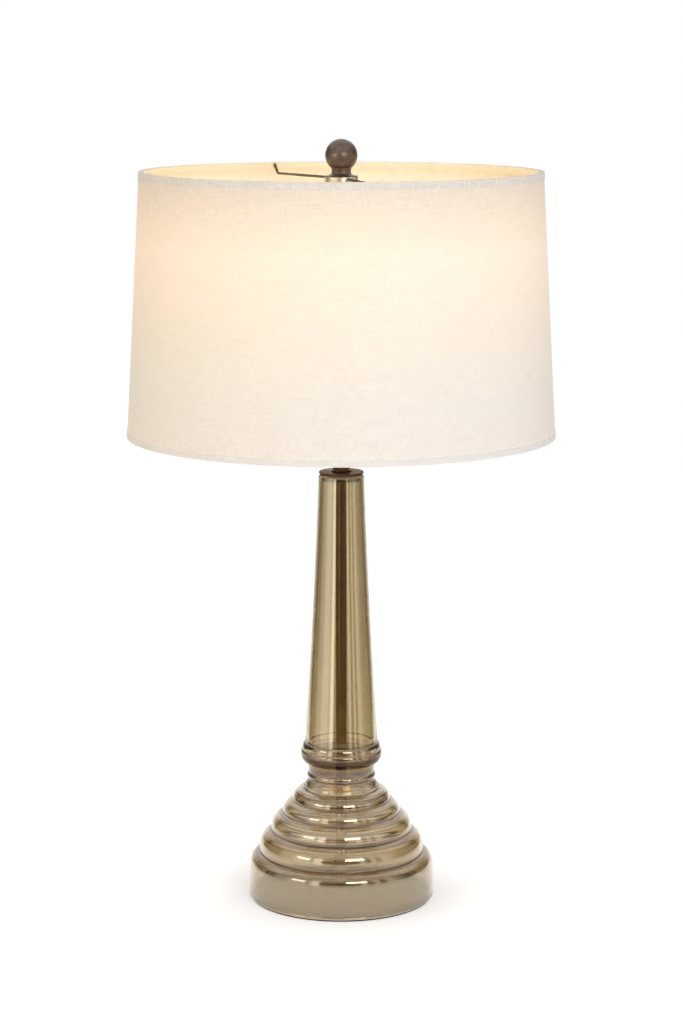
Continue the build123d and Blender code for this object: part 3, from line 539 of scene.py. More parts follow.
@dataclass(frozen=True)
class LitGlass:
    """The bulb's envelope: glass etched inside, which hides the filament in an even warm glow.

    The glow is half as strong at the neck as at the crown.
    """

    name: str = "etched_bulb_glass"
    glow: str = "ffdcaa"
    strength: float = 14.0
    neck_mm: float = 540.0
    crown_mm: float = 600.0
    colour: str = "f4efe2"
    roughness: float = 0.45

    def material(self) -> bpy.types.Material:
        """Builds the material from its sizes.

        Returns:
            The material.
        """
        material, tree, shader, place = new_material(self.name)
        height = add_node(tree, "SeparateXYZ", {"Vector": place}, out="Z")
        level = add_node(tree, "MapRange", {
            "Value": height, "From Min": self.neck_mm * MM, "From Max": self.crown_mm * MM,
            "To Min": self.strength / 2, "To Max": self.strength})
        set_inputs(tree, shader, {
            "Emission Strength": level, "Emission Color": linear(self.glow),
            "Base Color": linear(self.colour), "Roughness": self.roughness})
        return material


# ------------------------------------------------------------------ the lamp's finishes

# Linen: creamy cloth with fine level streaks and a painted glow of the bulb through it.
LINEN = Linen("slubbed_linen", "e2dfda", "d3cfc8", 0.545)
# Styrene film behind the linen: smooth and creamy, with 6 mm clouds that barely show. It is
# evenly lit by a painted glow of the bulb, which dims at the top edge.
FILM = Linen("styrene_backing_film", "ebe3d6", "e7ddd0", 0.19,
             ((456.0, "f4d7a0"), (630.0, "fff0c0"), (690.0, "fff0c4"), (695.0, "d8bc80"),
              (704.0, "b8985c")),
             weft_mm=6.0, warp_mm=6.0, depth_mm=0.01)
# Linen tape folded over the edges: a paler band outside with a duller painted glow, and inside a
# yellow painted glow of the bulb.
HEM = Linen("linen_hem_tape", "dedad8", "cfcac7", 0.44, ((456.0, "dfd7cd"), (704.0, "ccbea6")),
            inner_glow="d0b458", wall_mm=4.0)
# Cast bronze rubbed with oil: softly mottled brown with a waxy highlight.
BRONZE = Metal("oil_rubbed_bronze", "6e5b50", "4d3f37", 0.38, 0.5, mottle_mm=7.0, grain_mm=1.1,
               grain_depth_mm=0.05, coat=0.25)
# Pressed steel, bronzed: a dark brown disc with a quiet sheen.
CAP_BRONZE = Metal("dark_bronzed_steel", "59463a", "43342b", 0.4, 0.8, mottle_mm=7.0)
# Turned brass, bronzed: darker than the cap, with one clear upright highlight.
NECK_BRONZE = Metal("bronzed_brass", "544534", "3e3226", 0.32)
# Drawn brass, washed dark and lacquered: olive gold with uneven gleams.
BRASS = Metal("antique_brass", "93805a", "6b5a3c", 0.32)
# Drawn brass tube: a deep golden brown line through the column. Inside the foot it is satin, with
# a pale colour that is painted light, where it is seen lit through the glass.
PIPE = Metal("lacquered_brass_pipe", "a58a54", "86693a", 0.2, mottle_mm=30.0, pale="efe6d2",
             pale_mm=113.0)
# Turned brass left bright: clean yellow with small sharp glints.
BRIGHT = Metal("bright_brass", "d9b56a", "c09a50", 0.2)
# Nickel plate, polished: pale champagne with soft patches of the lit shade in it.
NICKEL = Metal("polished_nickel", "d6ccb6", "c6bba2", 0.22, 0.7, polish_spread=0.03,
               grain_depth_mm=0.003)
# Zinc plate: cool grey and slightly cloudy.
ZINC = Metal("zinc_plated_steel", "b4b4ae", "96968f", 0.35)
# Brassed steel sheet, satin: pale and even, so that the foot looks light from within.
PLATE = Metal("satin_brassed_steel_plate", "ded2bc", "cabca2", 0.45, 0.3)
# Drawn steel wire, bronzed: a thin dark line with a golden edge in the lamplight.
WIRE = Metal("bronzed_steel_wire", "6b5c40", "4a3f2c", 0.35, 0.8)
# Steel wire in white powder coat: warm white without a gleam.
COATED = Metal("white_coated_wire", "e4dfd2", "d2ccbd", 0.5, 0.0)
# Rolled aluminium: light grey with a broad soft gleam.
ALUMINIUM = Metal("rolled_aluminium", "cfcfcd", "b8b8b5", 0.3)
# Drawn tungsten: a dull grey thread.
TUNGSTEN = Metal("tungsten_wire", "8a8784", "6d6a68", 0.4)
# Pressed wool: almost black, without any shine, its fibres drawn as lumps of 0.9 mm.
FELT = Moulding("pressed_wool_felt", "3a3430", "262220", 1.0, grain_mm=0.9, grain_depth_mm=0.3)
# Moulded clear silicone: milky, and lets the light in the foot pass.
RUBBER = Moulding("clear_silicone_rubber", "e9e5da", "dcd6c8", 0.3, transmission=0.9, ior=1.42)
# Moulded rubber: a dark tan line under the cap, matt.
DARK_RUBBER = Moulding("moulded_dark_rubber", "6a5636", "54432a", 0.5)
# Moulded nylon: brown black with a soft gleam.
NYLON = Moulding("moulded_nylon", "2e2924", "231f1b", 0.45)
# Pressed phenolic: black with a clear gloss from the mould.
PHENOLIC = Moulding("black_phenolic", "1c1917", "12100f", 0.25)
# Vulcanised fibre: tan card with a dry, chalky face.
CARD = Moulding("vulcanised_fibre_card", "cbbf9f", "b7a988", 0.8)
# Fused black glass: deep black that looks wet.
BLACK_GLASS = Moulding("black_vitrite_glass", "101012", "08080a", 0.08, ior=1.6)
# Drawn clear glass: colourless, with bright edges.
CLEAR_GLASS = Moulding("clear_lead_glass", "f2f5f3", "eaf0ec", 0.05, ior=1.56, transmission=1.0)


# ------------------------------------------------------------------ modelling helpers


def arc(centre: Point, radii: Point, start: float, end: float, steps: int) -> list[Point]:
    """Points of an arc of a circle or an upright ellipse.

    Args:
        centre: its centre, as radius and height.
        radii: half its width and half its height.
        start: first angle in degrees, counted from outward towards up.
        end: last angle in degrees.
        steps: how many pieces it has.

    Returns:
        Its points, with both ends.
    """
    turns = [math.radians(start + (end - start) * i / steps) for i in range(steps + 1)]
    return [(centre[0] + radii[0] * math.cos(t), centre[1] + radii[1] * math.sin(t))
            for t in turns]


def three_point(first: Point, middle: Point, last: Point, steps: int) -> list[Point]:
    """Points of the circular arc through three points.

    Args:
        first: where it starts.
        middle: a point that it passes.
        last: where it ends.
        steps: how many pieces it has.

    Returns:
        Its points, from the first to the last.
    """
    (ax, ay), (bx, by), (cx, cy) = first, middle, last
    a, b, c = ax**2 + ay**2, bx**2 + by**2, cx**2 + cy**2
    d = 2 * (ax * (by - cy) + bx * (cy - ay) + cx * (ay - by))
    ux = (a * (by - cy) + b * (cy - ay) + c * (ay - by)) / d
    uy = (a * (cx - bx) + b * (ax - cx) + c * (bx - ax)) / d
    start, end = math.atan2(ay - uy, ax - ux), math.atan2(cy - uy, cx - ux)
    sweep = (end - start + math.pi) % (2 * math.pi) - math.pi
    radius = math.hypot(ax - ux, ay - uy)
    return arc((ux, uy), (radius, radius), math.degrees(start), math.degrees(start + sweep), steps)


def softened(points: Sequence[Point], step: float, reach: int) -> list[Point]:
    """Rounds a polyline's corners, as a blown wall's inner face is rounded.

    Args:
        points: the polyline.
        step: spacing of the new points, in the polyline's unit.
        reach: how many new points on each side are averaged.

    Returns:
        Evenly spaced points, with the same ends.
    """
    even = [points[0]]
    for a, b in zip(points, points[1:]):
        count = max(1, round(math.dist(a, b) / step))
        even += [(a[0] + (b[0] - a[0]) * i / count, a[1] + (b[1] - a[1]) * i / count)
                 for i in range(1, count + 1)]
    soft = []
    for i in range(len(even)):
        span = min(reach, i, len(even) - 1 - i)
        near = even[i - span : i + span + 1]
        soft.append((sum(p[0] for p in near) / len(near), sum(p[1] for p in near) / len(near)))
    return soft


def deselect() -> None:
    """Deselects every object."""
    bpy.ops.object.select_all(action="DESELECT")


def make_active(obj: bpy.types.Object) -> None:
    """Selects one object alone and makes it the active one.

    Args:
        obj: the object.
    """
    deselect()
    obj.select_set(True)
    bpy.context.view_layer.objects.active = obj


def settle(obj: bpy.types.Object) -> None:
    """Puts an object's origin on the frame's, and shades it smooth between creases.

    Args:
        obj: the object.
    """
    make_active(obj)
    bpy.ops.object.transform_apply(location=True, rotation=True, scale=True)
    bpy.ops.object.shade_smooth_by_angle(angle=CREASE, keep_sharp_edges=True)


def apply_all(obj: bpy.types.Object) -> None:
    """Applies an object's modifiers in order.

    Args:
        obj: the object.
    """
    make_active(obj)
    for name in [m.name for m in obj.modifiers]:
        bpy.ops.object.modifier_apply(modifier=name)


def turned(name: str, outline: Sequence[Point], facets: int) -> bpy.types.Object:
    """Models a turned piece: one vertex is extruded along a half outline, which is spun about Z.

    Args:
        name: the piece's name.
        outline: radius and height of each point, in millimetres. A closed ring repeats its first
            point, and a solid piece starts and ends on the axis.
        facets: how many it has round the axis.

    Returns:
        The finished object.
    """
    deselect()
    (radius, height), *rest = outline
    bpy.ops.mesh.primitive_plane_add(size=MM, location=(radius * MM, 0, height * MM))
    obj = bpy.context.active_object
    obj.name = name
    bpy.ops.object.mode_set(mode="EDIT")
    bpy.ops.mesh.select_all(action="SELECT")
    bpy.ops.mesh.merge(type="CENTER")
    here = (radius, height)
    for point in rest:
        step = ((point[0] - here[0]) * MM, 0, (point[1] - here[1]) * MM)
        bpy.ops.mesh.extrude_vertices_move(TRANSFORM_OT_translate={"value": step})
        here = point
    bpy.ops.mesh.select_all(action="SELECT")
    bpy.ops.mesh.remove_doubles(threshold=MERGE_LINE)
    bpy.ops.mesh.spin(steps=facets, angle=2 * math.pi, center=(0, 0, 0), axis=(0, 0, 1))
    bpy.ops.mesh.select_all(action="SELECT")
    bpy.ops.mesh.remove_doubles(threshold=MERGE)
    bpy.ops.mesh.normals_make_consistent(inside=False)
    bpy.ops.object.mode_set(mode="OBJECT")
    settle(obj)
    return obj


def smooth_copy(frame: dict[str, Any], node: str) -> bpy.types.Object:
    """Copies a node's mesh, joins its loose triangles and shades it smooth between creases.

    Args:
        node: the node's name.

    Returns:
        The copy, named after the node.
    """
    copy = bpy.data.objects.new(f"{node}_shown", frame["nodes"][node].data.copy())
    bpy.context.scene.collection.objects.link(copy)
    copy.data.materials.clear()
    make_active(copy)
    bpy.ops.object.mode_set(mode="EDIT")
    bpy.ops.mesh.select_all(action="SELECT")
    bpy.ops.mesh.remove_doubles(threshold=MERGE)
    bpy.ops.object.mode_set(mode="OBJECT")
    bpy.ops.object.shade_smooth_by_angle(angle=CREASE, keep_sharp_edges=False)
    return copy


def place_piece(obj: bpy.types.Object, body: Body, slot: str, material: bpy.types.Material,
                *nodes: str) -> bpy.types.Object:
    """Gives a piece its material and its body, and hides the nodes it stands for.

    Args:
        obj: the piece.
        body: what it rides on.
        slot: the record's material slot; not used.
        material: its finish.
        nodes: CAD nodes that it replaces.

    Returns:
        The piece.
    """
    obj.data.materials.clear()
    obj.data.materials.append(material)
    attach(obj, body.value)
    if nodes:
        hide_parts(*nodes)
    LOG.info("piece %s rides on %s", obj.name, body.value)
    return obj


# ------------------------------------------------------------------ the glass body


@dataclass
class GlassBody:
    """The stepped glass body, its sizes as in the frame, in millimetres.

    Each tier is its radius, the height of its upright wall and the radius of its round. The collar
    is its radius, its height and the height of the slope to the waist. The ring is its radius, the
    height of the waist under it and its own height. The bead is its radius, the height of its
    lower half and that of its upper half. The cushion is its radius and its height, and the column
    is its radius at the bottom, in the middle and at the top.
    """

    bottom: float = 2.7
    wall: float = 3.5
    foot_flare: float = 1.3
    foot_edge_round: float = 2.6
    tiers: tuple[tuple[float, float, float], ...] = (
        (89.2, 31.5, 11.8),
        (79.6, 6.2, 16.0),
        (68.4, 2.7, 14.8),
        (56.9, 1.5, 11.2),
        (47.5, 0.3, 11.8),
    )
    collar: tuple[float, float, float] = (36.8, 2.8, 5.6)
    waist: float = 31.8
    ring: tuple[float, float, float] = (33.4, 1.4, 6.2)
    waist_height: float = 8.6
    bead: tuple[float, float, float] = (39.3, 10.3, 3.5)
    cushion: tuple[float, float] = (38.0, 7.1)
    column: tuple[float, float, float] = (35.3, 27.4, 21.8)
    column_height: float = 262.6
    lip_round: float = 2.8
    inner_step: float = 1.0
    inner_reach: int = 5
    same_point: float = 1e-4
    facets: int = 224
    edge_steps: int = 6
    tier_steps: int = 14
    ring_steps: int = 10
    bead_steps: int = 12
    shoulder_steps: int = 5
    cushion_steps: int = 8
    column_steps: int = 40

    def round_end(self, tier: int) -> tuple[float, float]:
        """Finds where a tier's round meets the next tier, or the collar after the last one.

        Args:
            tier: the tier's number, from the bottom.

        Returns:
            The radius there, and how far that is outside the middle of the round.
        """
        radius, _, rounding = self.tiers[tier]
        last = tier + 1 == len(self.tiers)
        inner = self.collar[0] if last else self.tiers[tier + 1][0]
        return inner, inner - radius + rounding

    def tier_outline(self, inset: float) -> list[Point]:
        """Outline of the tiers, from the foot's shoulder to the collar's foot.

        Args:
            inset: how far it lies inside the outer face.

        Returns:
            Its points, from the bottom up.
        """
        points: list[Point] = []
        level = self.bottom
        for tier, (radius, wall, rounding) in enumerate(self.tiers):
            inner, run = self.round_end(tier)
            level += wall
            size = rounding - inset
            turn = math.degrees(math.acos(min(1.0, max(0.0, run / size))))
            points += arc((radius - rounding, level), (size, size), 0.0, turn, self.tier_steps)
            level += rounding * math.sin(math.acos(max(0.0, run / rounding)))
            points.append((inner - inset, points[-1][1]))
        return points

    def levels(self) -> dict[str, float]:
        """Heights of the parts above the tiers.

        Returns:
            The heights of the collar's top, of the bead's middle and of the lip's top, and those
            where each other part starts.
        """
        level = self.bottom
        for tier, (_, wall, rounding) in enumerate(self.tiers):
            run = self.round_end(tier)[1]
            level += wall + rounding * math.sin(math.acos(max(0.0, run / rounding)))
        found = {}
        for name, step in (("collar", self.collar[1]), ("waist", self.collar[2]),
                           ("ring", self.ring[1]), ("upper_waist", self.ring[2]),
                           ("bead", self.waist_height), ("bead_middle", self.bead[1]),
                           ("cushion", self.bead[2]), ("column", self.cushion[1]),
                           ("top", self.column_height)):
            level += step
            found[name] = level
        return found

    def outside(self, at: dict[str, float], foot: float) -> list[Point]:
        """Outline of the outer face.

        Args:
            at: the heights from levels.
            foot: the foot's radius at the bottom.

        Returns:
            Its points, from the foot's edge up to the top of the lip.
        """
        edge, lip, waist = self.foot_edge_round, self.lip_round, self.waist
        bead, cushion, column = self.bead, self.cushion, self.column
        points = arc((foot - edge, self.bottom + edge), (edge, edge), -90, 0, self.edge_steps)
        points += self.tier_outline(0.0)
        points += [(self.collar[0], at["collar"]), (waist, at["waist"]), (waist, at["ring"])]
        ring_middle = (self.ring[0], (at["ring"] + at["upper_waist"]) / 2)
        points += three_point((waist, at["ring"]), ring_middle, (waist, at["upper_waist"]),
                              self.ring_steps)
        points += arc((waist, at["bead_middle"]), (bead[0] - waist, bead[1]), -90, 0,
                      self.bead_steps)
        points += arc((cushion[0], at["bead_middle"]), (bead[0] - cushion[0], bead[2]), 0, 90,
                      self.shoulder_steps)
        points += arc((column[0], at["cushion"]), (cushion[0] - column[0], cushion[1]), 0, 90,
                      self.cushion_steps)
        points += self.column_line(at, 0.0)[:-1]
        points += arc((column[2] - lip, at["top"] - lip), (lip, lip), 0, 90, self.edge_steps)
        return points

    def column_line(self, at: dict[str, float], inset: float) -> list[Point]:
        """Hollow curve of the column's side.

        Args:
            at: the heights from levels.
            inset: how far it lies inside the outer face.

        Returns:
            Its points, from the bottom up.
        """
        low, middle, top = (radius - inset for radius in self.column)
        halfway = at["column"] + self.column_height / 2
        return three_point((low, at["column"]), (middle, halfway), (top, at["top"]),
                           self.column_steps)

    def outline(self) -> list[Point]:
        """Closed half outline of the wall.

        Returns:
            Its points, up the outside, over the lip and down the inside.
        """
        at = self.levels()
        foot = self.tiers[0][0] + self.foot_flare
        outside = self.outside(at, foot)
        inner_waist = self.waist - self.wall
        stepped = [(inner_waist, at["bead"]), (inner_waist, at["waist"]),
                   (self.collar[0] - self.wall, at["collar"])]
        stepped += reversed(self.tier_outline(self.wall))
        stepped += [(foot - self.wall, self.bottom)]
        inside = self.column_line(at, self.wall)[::-1]
        inside += softened(stepped, self.inner_step, self.inner_reach)
        points = outside + inside + outside[:1]
        return [p for i, p in enumerate(points)
                if i == 0 or math.dist(p, points[i - 1]) > self.same_point]

    def build(self) -> None:
        """Models the glass and dresses it in lustre glass."""
        obj = turned("glass_vase", self.outline(), self.facets)
        place_piece(obj, Body.LAMP, "lustre_glass", LustreGlass().material(), "glass_body")


# ------------------------------------------------------------------ the shade


@dataclass
class Shade:
    """Linen skin, backing film and hem tapes of the drum shade, in millimetres."""

    bottom_radius: float = 203.2
    top_radius: float = 189.6
    height: float = 247.7
    linen: float = 0.6
    liner_inset: float = 0.7
    liner: float = 0.5
    facets: int = 256

    def skin(self, name: str, low: float, inset: float, thickness: float) -> bpy.types.Object:
        """Models one skin of the shade: an open cylinder, drawn in at the top and thickened.

        Args:
            name: the piece's name.
            low: height of its lower edge.
            inset: how far its outer face is inside the shade's.
            thickness: of the skin.

        Returns:
            The skin, with a map in metres round it and up it.
        """
        deselect()
        bottom, top = self.bottom_radius - inset, self.top_radius - inset
        bpy.ops.mesh.primitive_cylinder_add(
            vertices=self.facets, radius=bottom * MM, depth=self.height * MM,
            end_fill_type="NOTHING", location=(0, 0, (low + self.height / 2) * MM))
        obj = bpy.context.active_object
        obj.name = name
        bpy.ops.object.mode_set(mode="EDIT")
        bpy.ops.mesh.select_mode(type="VERT")
        bpy.ops.mesh.select_all(action="DESELECT")
        bpy.ops.object.mode_set(mode="OBJECT")
        for vertex in obj.data.vertices:
            vertex.select = vertex.co.z > 0
        bpy.ops.object.mode_set(mode="EDIT")
        bpy.ops.transform.resize(value=(top / bottom, top / bottom, 1.0))
        bpy.ops.mesh.select_all(action="SELECT")
        bpy.ops.mesh.subdivide(number_cuts=1)
        bpy.ops.object.mode_set(mode="OBJECT")
        around, up = math.pi * (bottom + top) * MM, self.height * MM
        for corner in obj.data.uv_layers["UVMap"].data:
            # A new cylinder's map has the wall in its upper half.
            corner.uv = (corner.uv[0] * around, (corner.uv[1] - 0.5) * 2 * up)
        solid = obj.modifiers.new("thickness", "SOLIDIFY")
        solid.thickness = thickness * MM
        solid.offset = -1.0
        apply_all(obj)
        settle(obj)
        return obj

    def map_round(self, obj: bpy.types.Object) -> None:
        """Gives a ring a map in metres: round it, and up it with its depth added.

        Args:
            obj: a ring about the lamp's axis.
        """
        layers = obj.data.uv_layers
        layer = layers[0] if layers else layers.new(name="UVMap")
        layer.name = "UVMap"
        for loop in obj.data.loops:
            x, y, z = obj.data.vertices[loop.vertex_index].co
            radius = math.hypot(x, y)
            layer.data[loop.index].uv = (math.atan2(x, -y) * radius, z + radius)

    def build(self, frame: dict[str, Any]) -> None:
        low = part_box("shade_linen")[0].z / MM
        cloth = self.skin("shade_cloth", low, 0.0, self.linen)
        place_piece(cloth, Body.SHADE, "linen", LINEN.material(), "shade_linen")
        liner = self.skin("shade_backing", low, self.liner_inset, self.liner)
        place_piece(liner, Body.SHADE, "liner_styrene", FILM.material(), "shade_liner")
        hem = HEM.material()
        for node in ("top_hem_tape", "bottom_hem_tape"):
            tape = smooth_copy(frame, node)
            self.map_round(tape)
            place_piece(tape, Body.SHADE, "linen", hem, node)


# ------------------------------------------------------------------ studio and camera


@dataclass
class Camera:
    """The photograph's viewpoint: its place in metres, pitch in degrees, and lens."""

    place: tuple[float, float, float] = (0.0002, -2.6075, 0.8369)
    pitch: float = 9.94
    focal_px: float = 2765.3
    long_side_px: int = 1024
    sensor_mm: float = 36.0

    def build(self) -> None:
        """Makes the camera and makes it the scene's."""
        data = bpy.data.cameras.new("camera")
        data.sensor_width = self.sensor_mm
        data.lens = self.focal_px / self.long_side_px * self.sensor_mm
        camera = bpy.data.objects.new("camera", data)
        camera.location = self.place
        camera.rotation_euler = (math.radians(90 - self.pitch), 0, 0)
        bpy.context.scene.collection.objects.link(camera)
        bpy.context.scene.camera = camera


@dataclass(frozen=True)
class Softbox:
    """An upright softbox that faces the lamp.

    Its azimuth is in degrees to the right of the camera, seen from above. Its distance, its width
    and the heights of its edges are in metres, and its glow is 1 at the brightness of white paper.
    """

    name: str
    azimuth: float
    away: float
    width: float
    low: float
    high: float
    glow: float
    colour: str = "ffffff"

    def build(self) -> None:
        """Stands the softbox in its place."""
        data = bpy.data.lights.new(self.name, "AREA")
        data.color = linear(self.colour)[:3]
        data.shape = "RECTANGLE"
        data.size, data.size_y = self.width, self.high - self.low
        data.energy = self.glow * math.pi * self.width * (self.high - self.low)
        light = bpy.data.objects.new(self.name, data)
        turn = math.radians(self.azimuth)
        light.location = (self.away * math.sin(turn), -self.away * math.cos(turn),
                          (self.low + self.high) / 2)
        light.rotation_euler = (math.pi / 2, 0, turn)
        bpy.context.scene.collection.objects.link(light)


@dataclass
class Studio:
    """White floor, softboxes and a room that is white behind the lamp and dim behind the camera.

    The walls are directions in degrees, counted from +Y towards +X, with their brightness. The
    spans of the floor's own light are distances from the lamp in metres.
    """

    floor_width: float = 1.3
    floor_front: float = 0.9
    floor_back: float = 4.0
    floor_cuts: int = 6
    floor_colour: str = "f2f1ef"
    floor_roughness: float = 0.9
    floor_gloss: float = 0.1
    floor_lift: float = 0.6
    # The floor's own light close to the foot: a painted shadow.
    foot_shadow_lift: float = 0.44
    foot_shadow_span: Span = (0.09, 0.17)
    # The floor's own light seen through glass near the lamp: painted light.
    through_lift: float = 0.75
    through_span: Span = (0.3, 0.8)
    room_light: float = 0.46
    ceiling: float = 1.15
    ceiling_span: Span = (0.3, 0.75)
    wall_peak: float = 3.0
    white_wall: float = 0.9
    dark_tint: tuple[float, float, float] = (1.25, 0.98, 0.62)
    walls: Levels = (
        (-180, 0.12), (-155, 0.12), (-151, 2.6), (-143, 2.6), (-138, 0.9), (-132, 1.5),
        (-112, 1.5), (-104, 0.9), (-90, 0.8), (-80, 0.2), (-42, 0.15), (-20, 1.0), (20, 1.0),
        (42, 0.15), (90, 0.3), (106, 0.7), (110, 1.1), (120, 1.1), (123, 0.25), (128, 0.25),
        (132, 1.1), (136, 1.1), (139, 0.15), (144, 0.15), (147, 1.2), (154, 1.2), (157, 0.2),
        (165, 0.12), (180, 0.12),
    )
    softboxes: tuple[Softbox, ...] = (
        Softbox("softbox_right", 19, 2.2, 1.05, 0.75, 1.5, 6.0),
        Softbox("softbox_left", -55, 2.3, 0.8, 0.6, 1.05, 4.8, "fff0dc"),
    )

    def floor(self) -> None:
        """Lays the floor, whose own light is seen by the camera and in glass and metal alone."""
        deselect()
        middle = (self.floor_back - self.floor_front) / 2
        bpy.ops.mesh.primitive_plane_add(size=1, location=(0, middle, 0))
        floor = bpy.context.active_object
        floor.name = "floor"
        bpy.ops.object.mode_set(mode="EDIT")
        bpy.ops.transform.resize(value=(self.floor_width, self.floor_front + self.floor_back, 1))
        bpy.ops.mesh.subdivide(number_cuts=self.floor_cuts)
        bpy.ops.object.mode_set(mode="OBJECT")
        bpy.ops.object.transform_apply(location=True, rotation=True, scale=True)
        floor.data.materials.append(self.paper())

    def paper(self) -> bpy.types.Material:
        """Builds the floor's paper: white and matt.

        Its own light is a little weaker close to the foot, which is a painted shadow, and a little
        stronger there where it is seen through glass, which is painted light where the lamp shades
        it.

        Returns:
            The material.
        """
        material, tree, shader, place = new_material("white_sweep_paper")
        path = add_node(tree, "LightPath").node.outputs
        seen = add_node(tree, "Math", {0: path["Is Camera Ray"], 1: path["Is Glossy Ray"]},
                        operation="MAXIMUM")
        away = add_node(tree, "VectorMath", {0: place}, out="Value", operation="LENGTH")
        # Painted shadow round the foot, and painted light in the floor seen through glass.
        glow, through = (
            add_node(tree, "MapRange", {
                "Value": away, "From Min": span[0], "From Max": span[1], "To Min": lift,
                "To Max": self.floor_lift}, interpolation_type="SMOOTHSTEP")
            for span, lift in ((self.foot_shadow_span, self.foot_shadow_lift),
                               (self.through_span, self.through_lift)))
        lift = add_node(tree, "Math", {0: seen, 1: glow}, operation="MULTIPLY")
        lift = add_node(tree, "Mix", {0: path["Is Transmission Ray"], 2: lift, 3: through})
        set_inputs(tree, shader, {
            "Emission Strength": lift, "Emission Color": WHITE,
            "Base Color": linear(self.floor_colour), "Roughness": self.floor_roughness,
            "Specular IOR Level": self.floor_gloss})
        return material

    def wall_shade(self, level: float) -> str:
        """Hex code of a wall's share of the peak brightness, browner the darker it is.

        Args:
            level: the wall's brightness, where 1 is white.

        Returns:
            Six hex digits.
        """
        white = min(1.0, level / self.white_wall)
        tint = [dark + (1 - dark) * white for dark in self.dark_tint]
        return "".join(grey(min(1.0, level * part / self.wall_peak))[:2] for part in tint)

    def room(self) -> None:
        """Sets the world: white to the camera and to matt surfaces, the studio's walls in gloss."""
        world = bpy.data.worlds.new("room")
        bpy.context.scene.world = world
        world.use_nodes = True
        tree = world.node_tree
        way = add_node(tree, "TexCoord", out="Generated")
        way = add_node(tree, "SeparateXYZ", {"Vector": way}).node.outputs
        azimuth = add_node(tree, "Math", {0: way["X"], 1: way["Y"]}, operation="ARCTAN2")
        share = add_node(tree, "MapRange", {
            "Value": azimuth, "From Min": -math.pi, "From Max": math.pi})
        stops = [(0.5 + turn / 360, self.wall_shade(level)) for turn, level in self.walls]
        walls = add_node(tree, "ValToRGB", {"Fac": share}, stops)
        high = add_node(tree, "MapRange", {
            "Value": way["Z"], "From Min": self.ceiling_span[0], "From Max": self.ceiling_span[1]},
            interpolation_type="SMOOTHSTEP")
        ceiling = linear(self.wall_shade(self.ceiling))
        seen = add_node(tree, "Mix", {0: high, 6: walls, 7: ceiling}, out=2, data_type="RGBA")
        path = add_node(tree, "LightPath").node.outputs
        camera = path["Is Camera Ray"]
        shiny = add_node(tree, "Math", {
            0: path["Is Glossy Ray"], 1: path["Is Transmission Ray"]}, operation="MAXIMUM")
        colour = add_node(tree, "Mix", {0: shiny, 6: WHITE, 7: seen}, out=2, data_type="RGBA")
        colour = add_node(tree, "Mix", {0: camera, 6: colour, 7: WHITE}, out=2, data_type="RGBA")
        level = add_node(tree, "Mix", {0: shiny, 2: self.room_light, 3: self.wall_peak})
        level = add_node(tree, "Mix", {0: camera, 2: level, 3: 1.0})
        set_inputs(tree, tree.nodes["Background"], {"Color": colour, "Strength": level})

    def build(self) -> None:
        """Makes the whole studio."""
        bpy.context.scene.view_settings.view_transform = "Standard"
        self.floor()
        self.room()
        for softbox in self.softboxes:
            softbox.build()


# ------------------------------------------------------------------ everything together

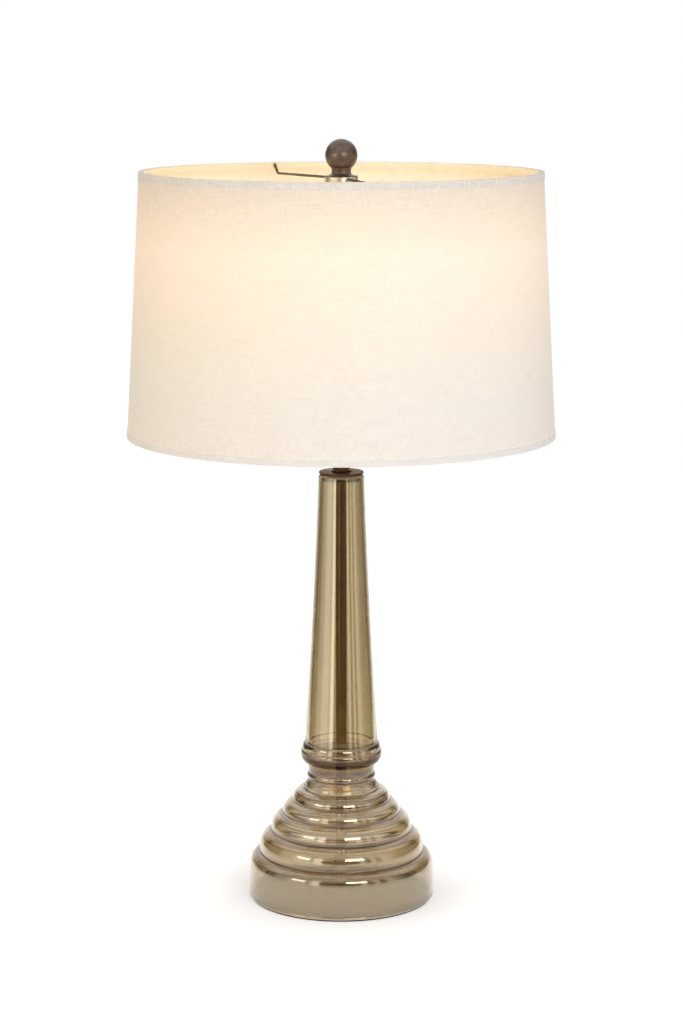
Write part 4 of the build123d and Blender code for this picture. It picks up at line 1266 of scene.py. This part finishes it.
# Each node that is shown as a smoothed copy: its body, its record slot and its finish.
COPIES: tuple[tuple[str, Body, str, Metal | Moulding], ...] = (
    ("felt_pad", Body.LAMP, "felt", FELT),
    ("base_plate", Body.LAMP, "steel_plate", PLATE),
    ("bottom_washer", Body.LAMP, "zinc_steel", ZINC),
    ("lock_washer", Body.LAMP, "zinc_steel", ZINC),
    ("hex_nut", Body.LAMP, "zinc_steel", ZINC),
    ("foot_gasket", Body.LAMP, "gasket_rubber", RUBBER),
    ("cord_grommet", Body.LAMP, "grommet_plastic", NYLON),
    ("lamp_pipe", Body.LAMP, "pipe_brass", PIPE),
    ("cap_gasket", Body.LAMP, "gasket_rubber", DARK_RUBBER),
    ("top_cap", Body.LAMP, "dark_bronze", CAP_BRONZE),
    ("neck", Body.LAMP, "antique_brass", NECK_BRONZE),
    ("harp_saddle", Body.LAMP, "antique_brass", BRASS),
    ("socket_cap", Body.LAMP, "antique_brass", BRASS),
    ("socket_shell", Body.LAMP, "antique_brass", BRASS),
    ("insulating_sleeve", Body.LAMP, "sleeve_card", CARD),
    ("socket_core", Body.LAMP, "phenolic", PHENOLIC),
    ("terminal_screws", Body.LAMP, "contact_brass", BRIGHT),
    ("screw_shell", Body.LAMP, "bulb_aluminium", ALUMINIUM),
    ("centre_contact", Body.LAMP, "contact_brass", BRIGHT),
    ("switch_rotor", Body.SWITCH, "phenolic", PHENOLIC),
    ("switch_shaft", Body.SWITCH, "zinc_steel", ZINC),
    ("switch_knob", Body.SWITCH, "phenolic", PHENOLIC),
    ("bulb_contact", Body.BULB, "contact_brass", BRIGHT),
    ("bulb_insulator", Body.BULB, "bulb_black_glass", BLACK_GLASS),
    ("bulb_base", Body.BULB, "bulb_aluminium", ALUMINIUM),
    ("bulb_stem", Body.BULB, "clear_glass", CLEAR_GLASS),
    ("bulb_filament", Body.BULB, "filament_tungsten", TUNGSTEN),
    ("harp", Body.HARP, "antique_brass", BRASS),
    ("harp_ferrule_left", Body.FERRULE_LEFT, "antique_brass", BRASS),
    ("harp_ferrule_right", Body.FERRULE_RIGHT, "antique_brass", BRASS),
    ("harp_stud", Body.STUD, "antique_brass", BRASS),
    ("spider_hub", Body.SHADE, "polished_nickel", NICKEL),
    ("spider_arms", Body.SHADE, "bronze_wire", WIRE),
    ("shade_top_ring", Body.SHADE, "ring_steel", COATED),
    ("shade_bottom_ring", Body.SHADE, "ring_steel", COATED),
    ("finial", Body.FINIAL, "dark_bronze", BRONZE),
)


def main(frame: dict[str, Any]) -> None:
    """Builds the studio and every piece.
    """
    Camera().build()
    Studio().build()
    GlassBody().build()
    Shade().build(frame)
    bulb = smooth_copy(frame, "bulb_glass")
    place_piece(bulb, Body.BULB, "frosted_glass", LitGlass().material(), "bulb_glass")
    finishes = dict.fromkeys(row[3] for row in COPIES)
    materials = {finish: finish.material() for finish in finishes}
    for node, body, slot, finish in COPIES:
        place_piece(smooth_copy(frame, node), body, slot, materials[finish], node)


if __name__ == "__main__":
    logging.basicConfig(level=logging.INFO, format="%(message)s")
    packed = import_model()
    main(packed)
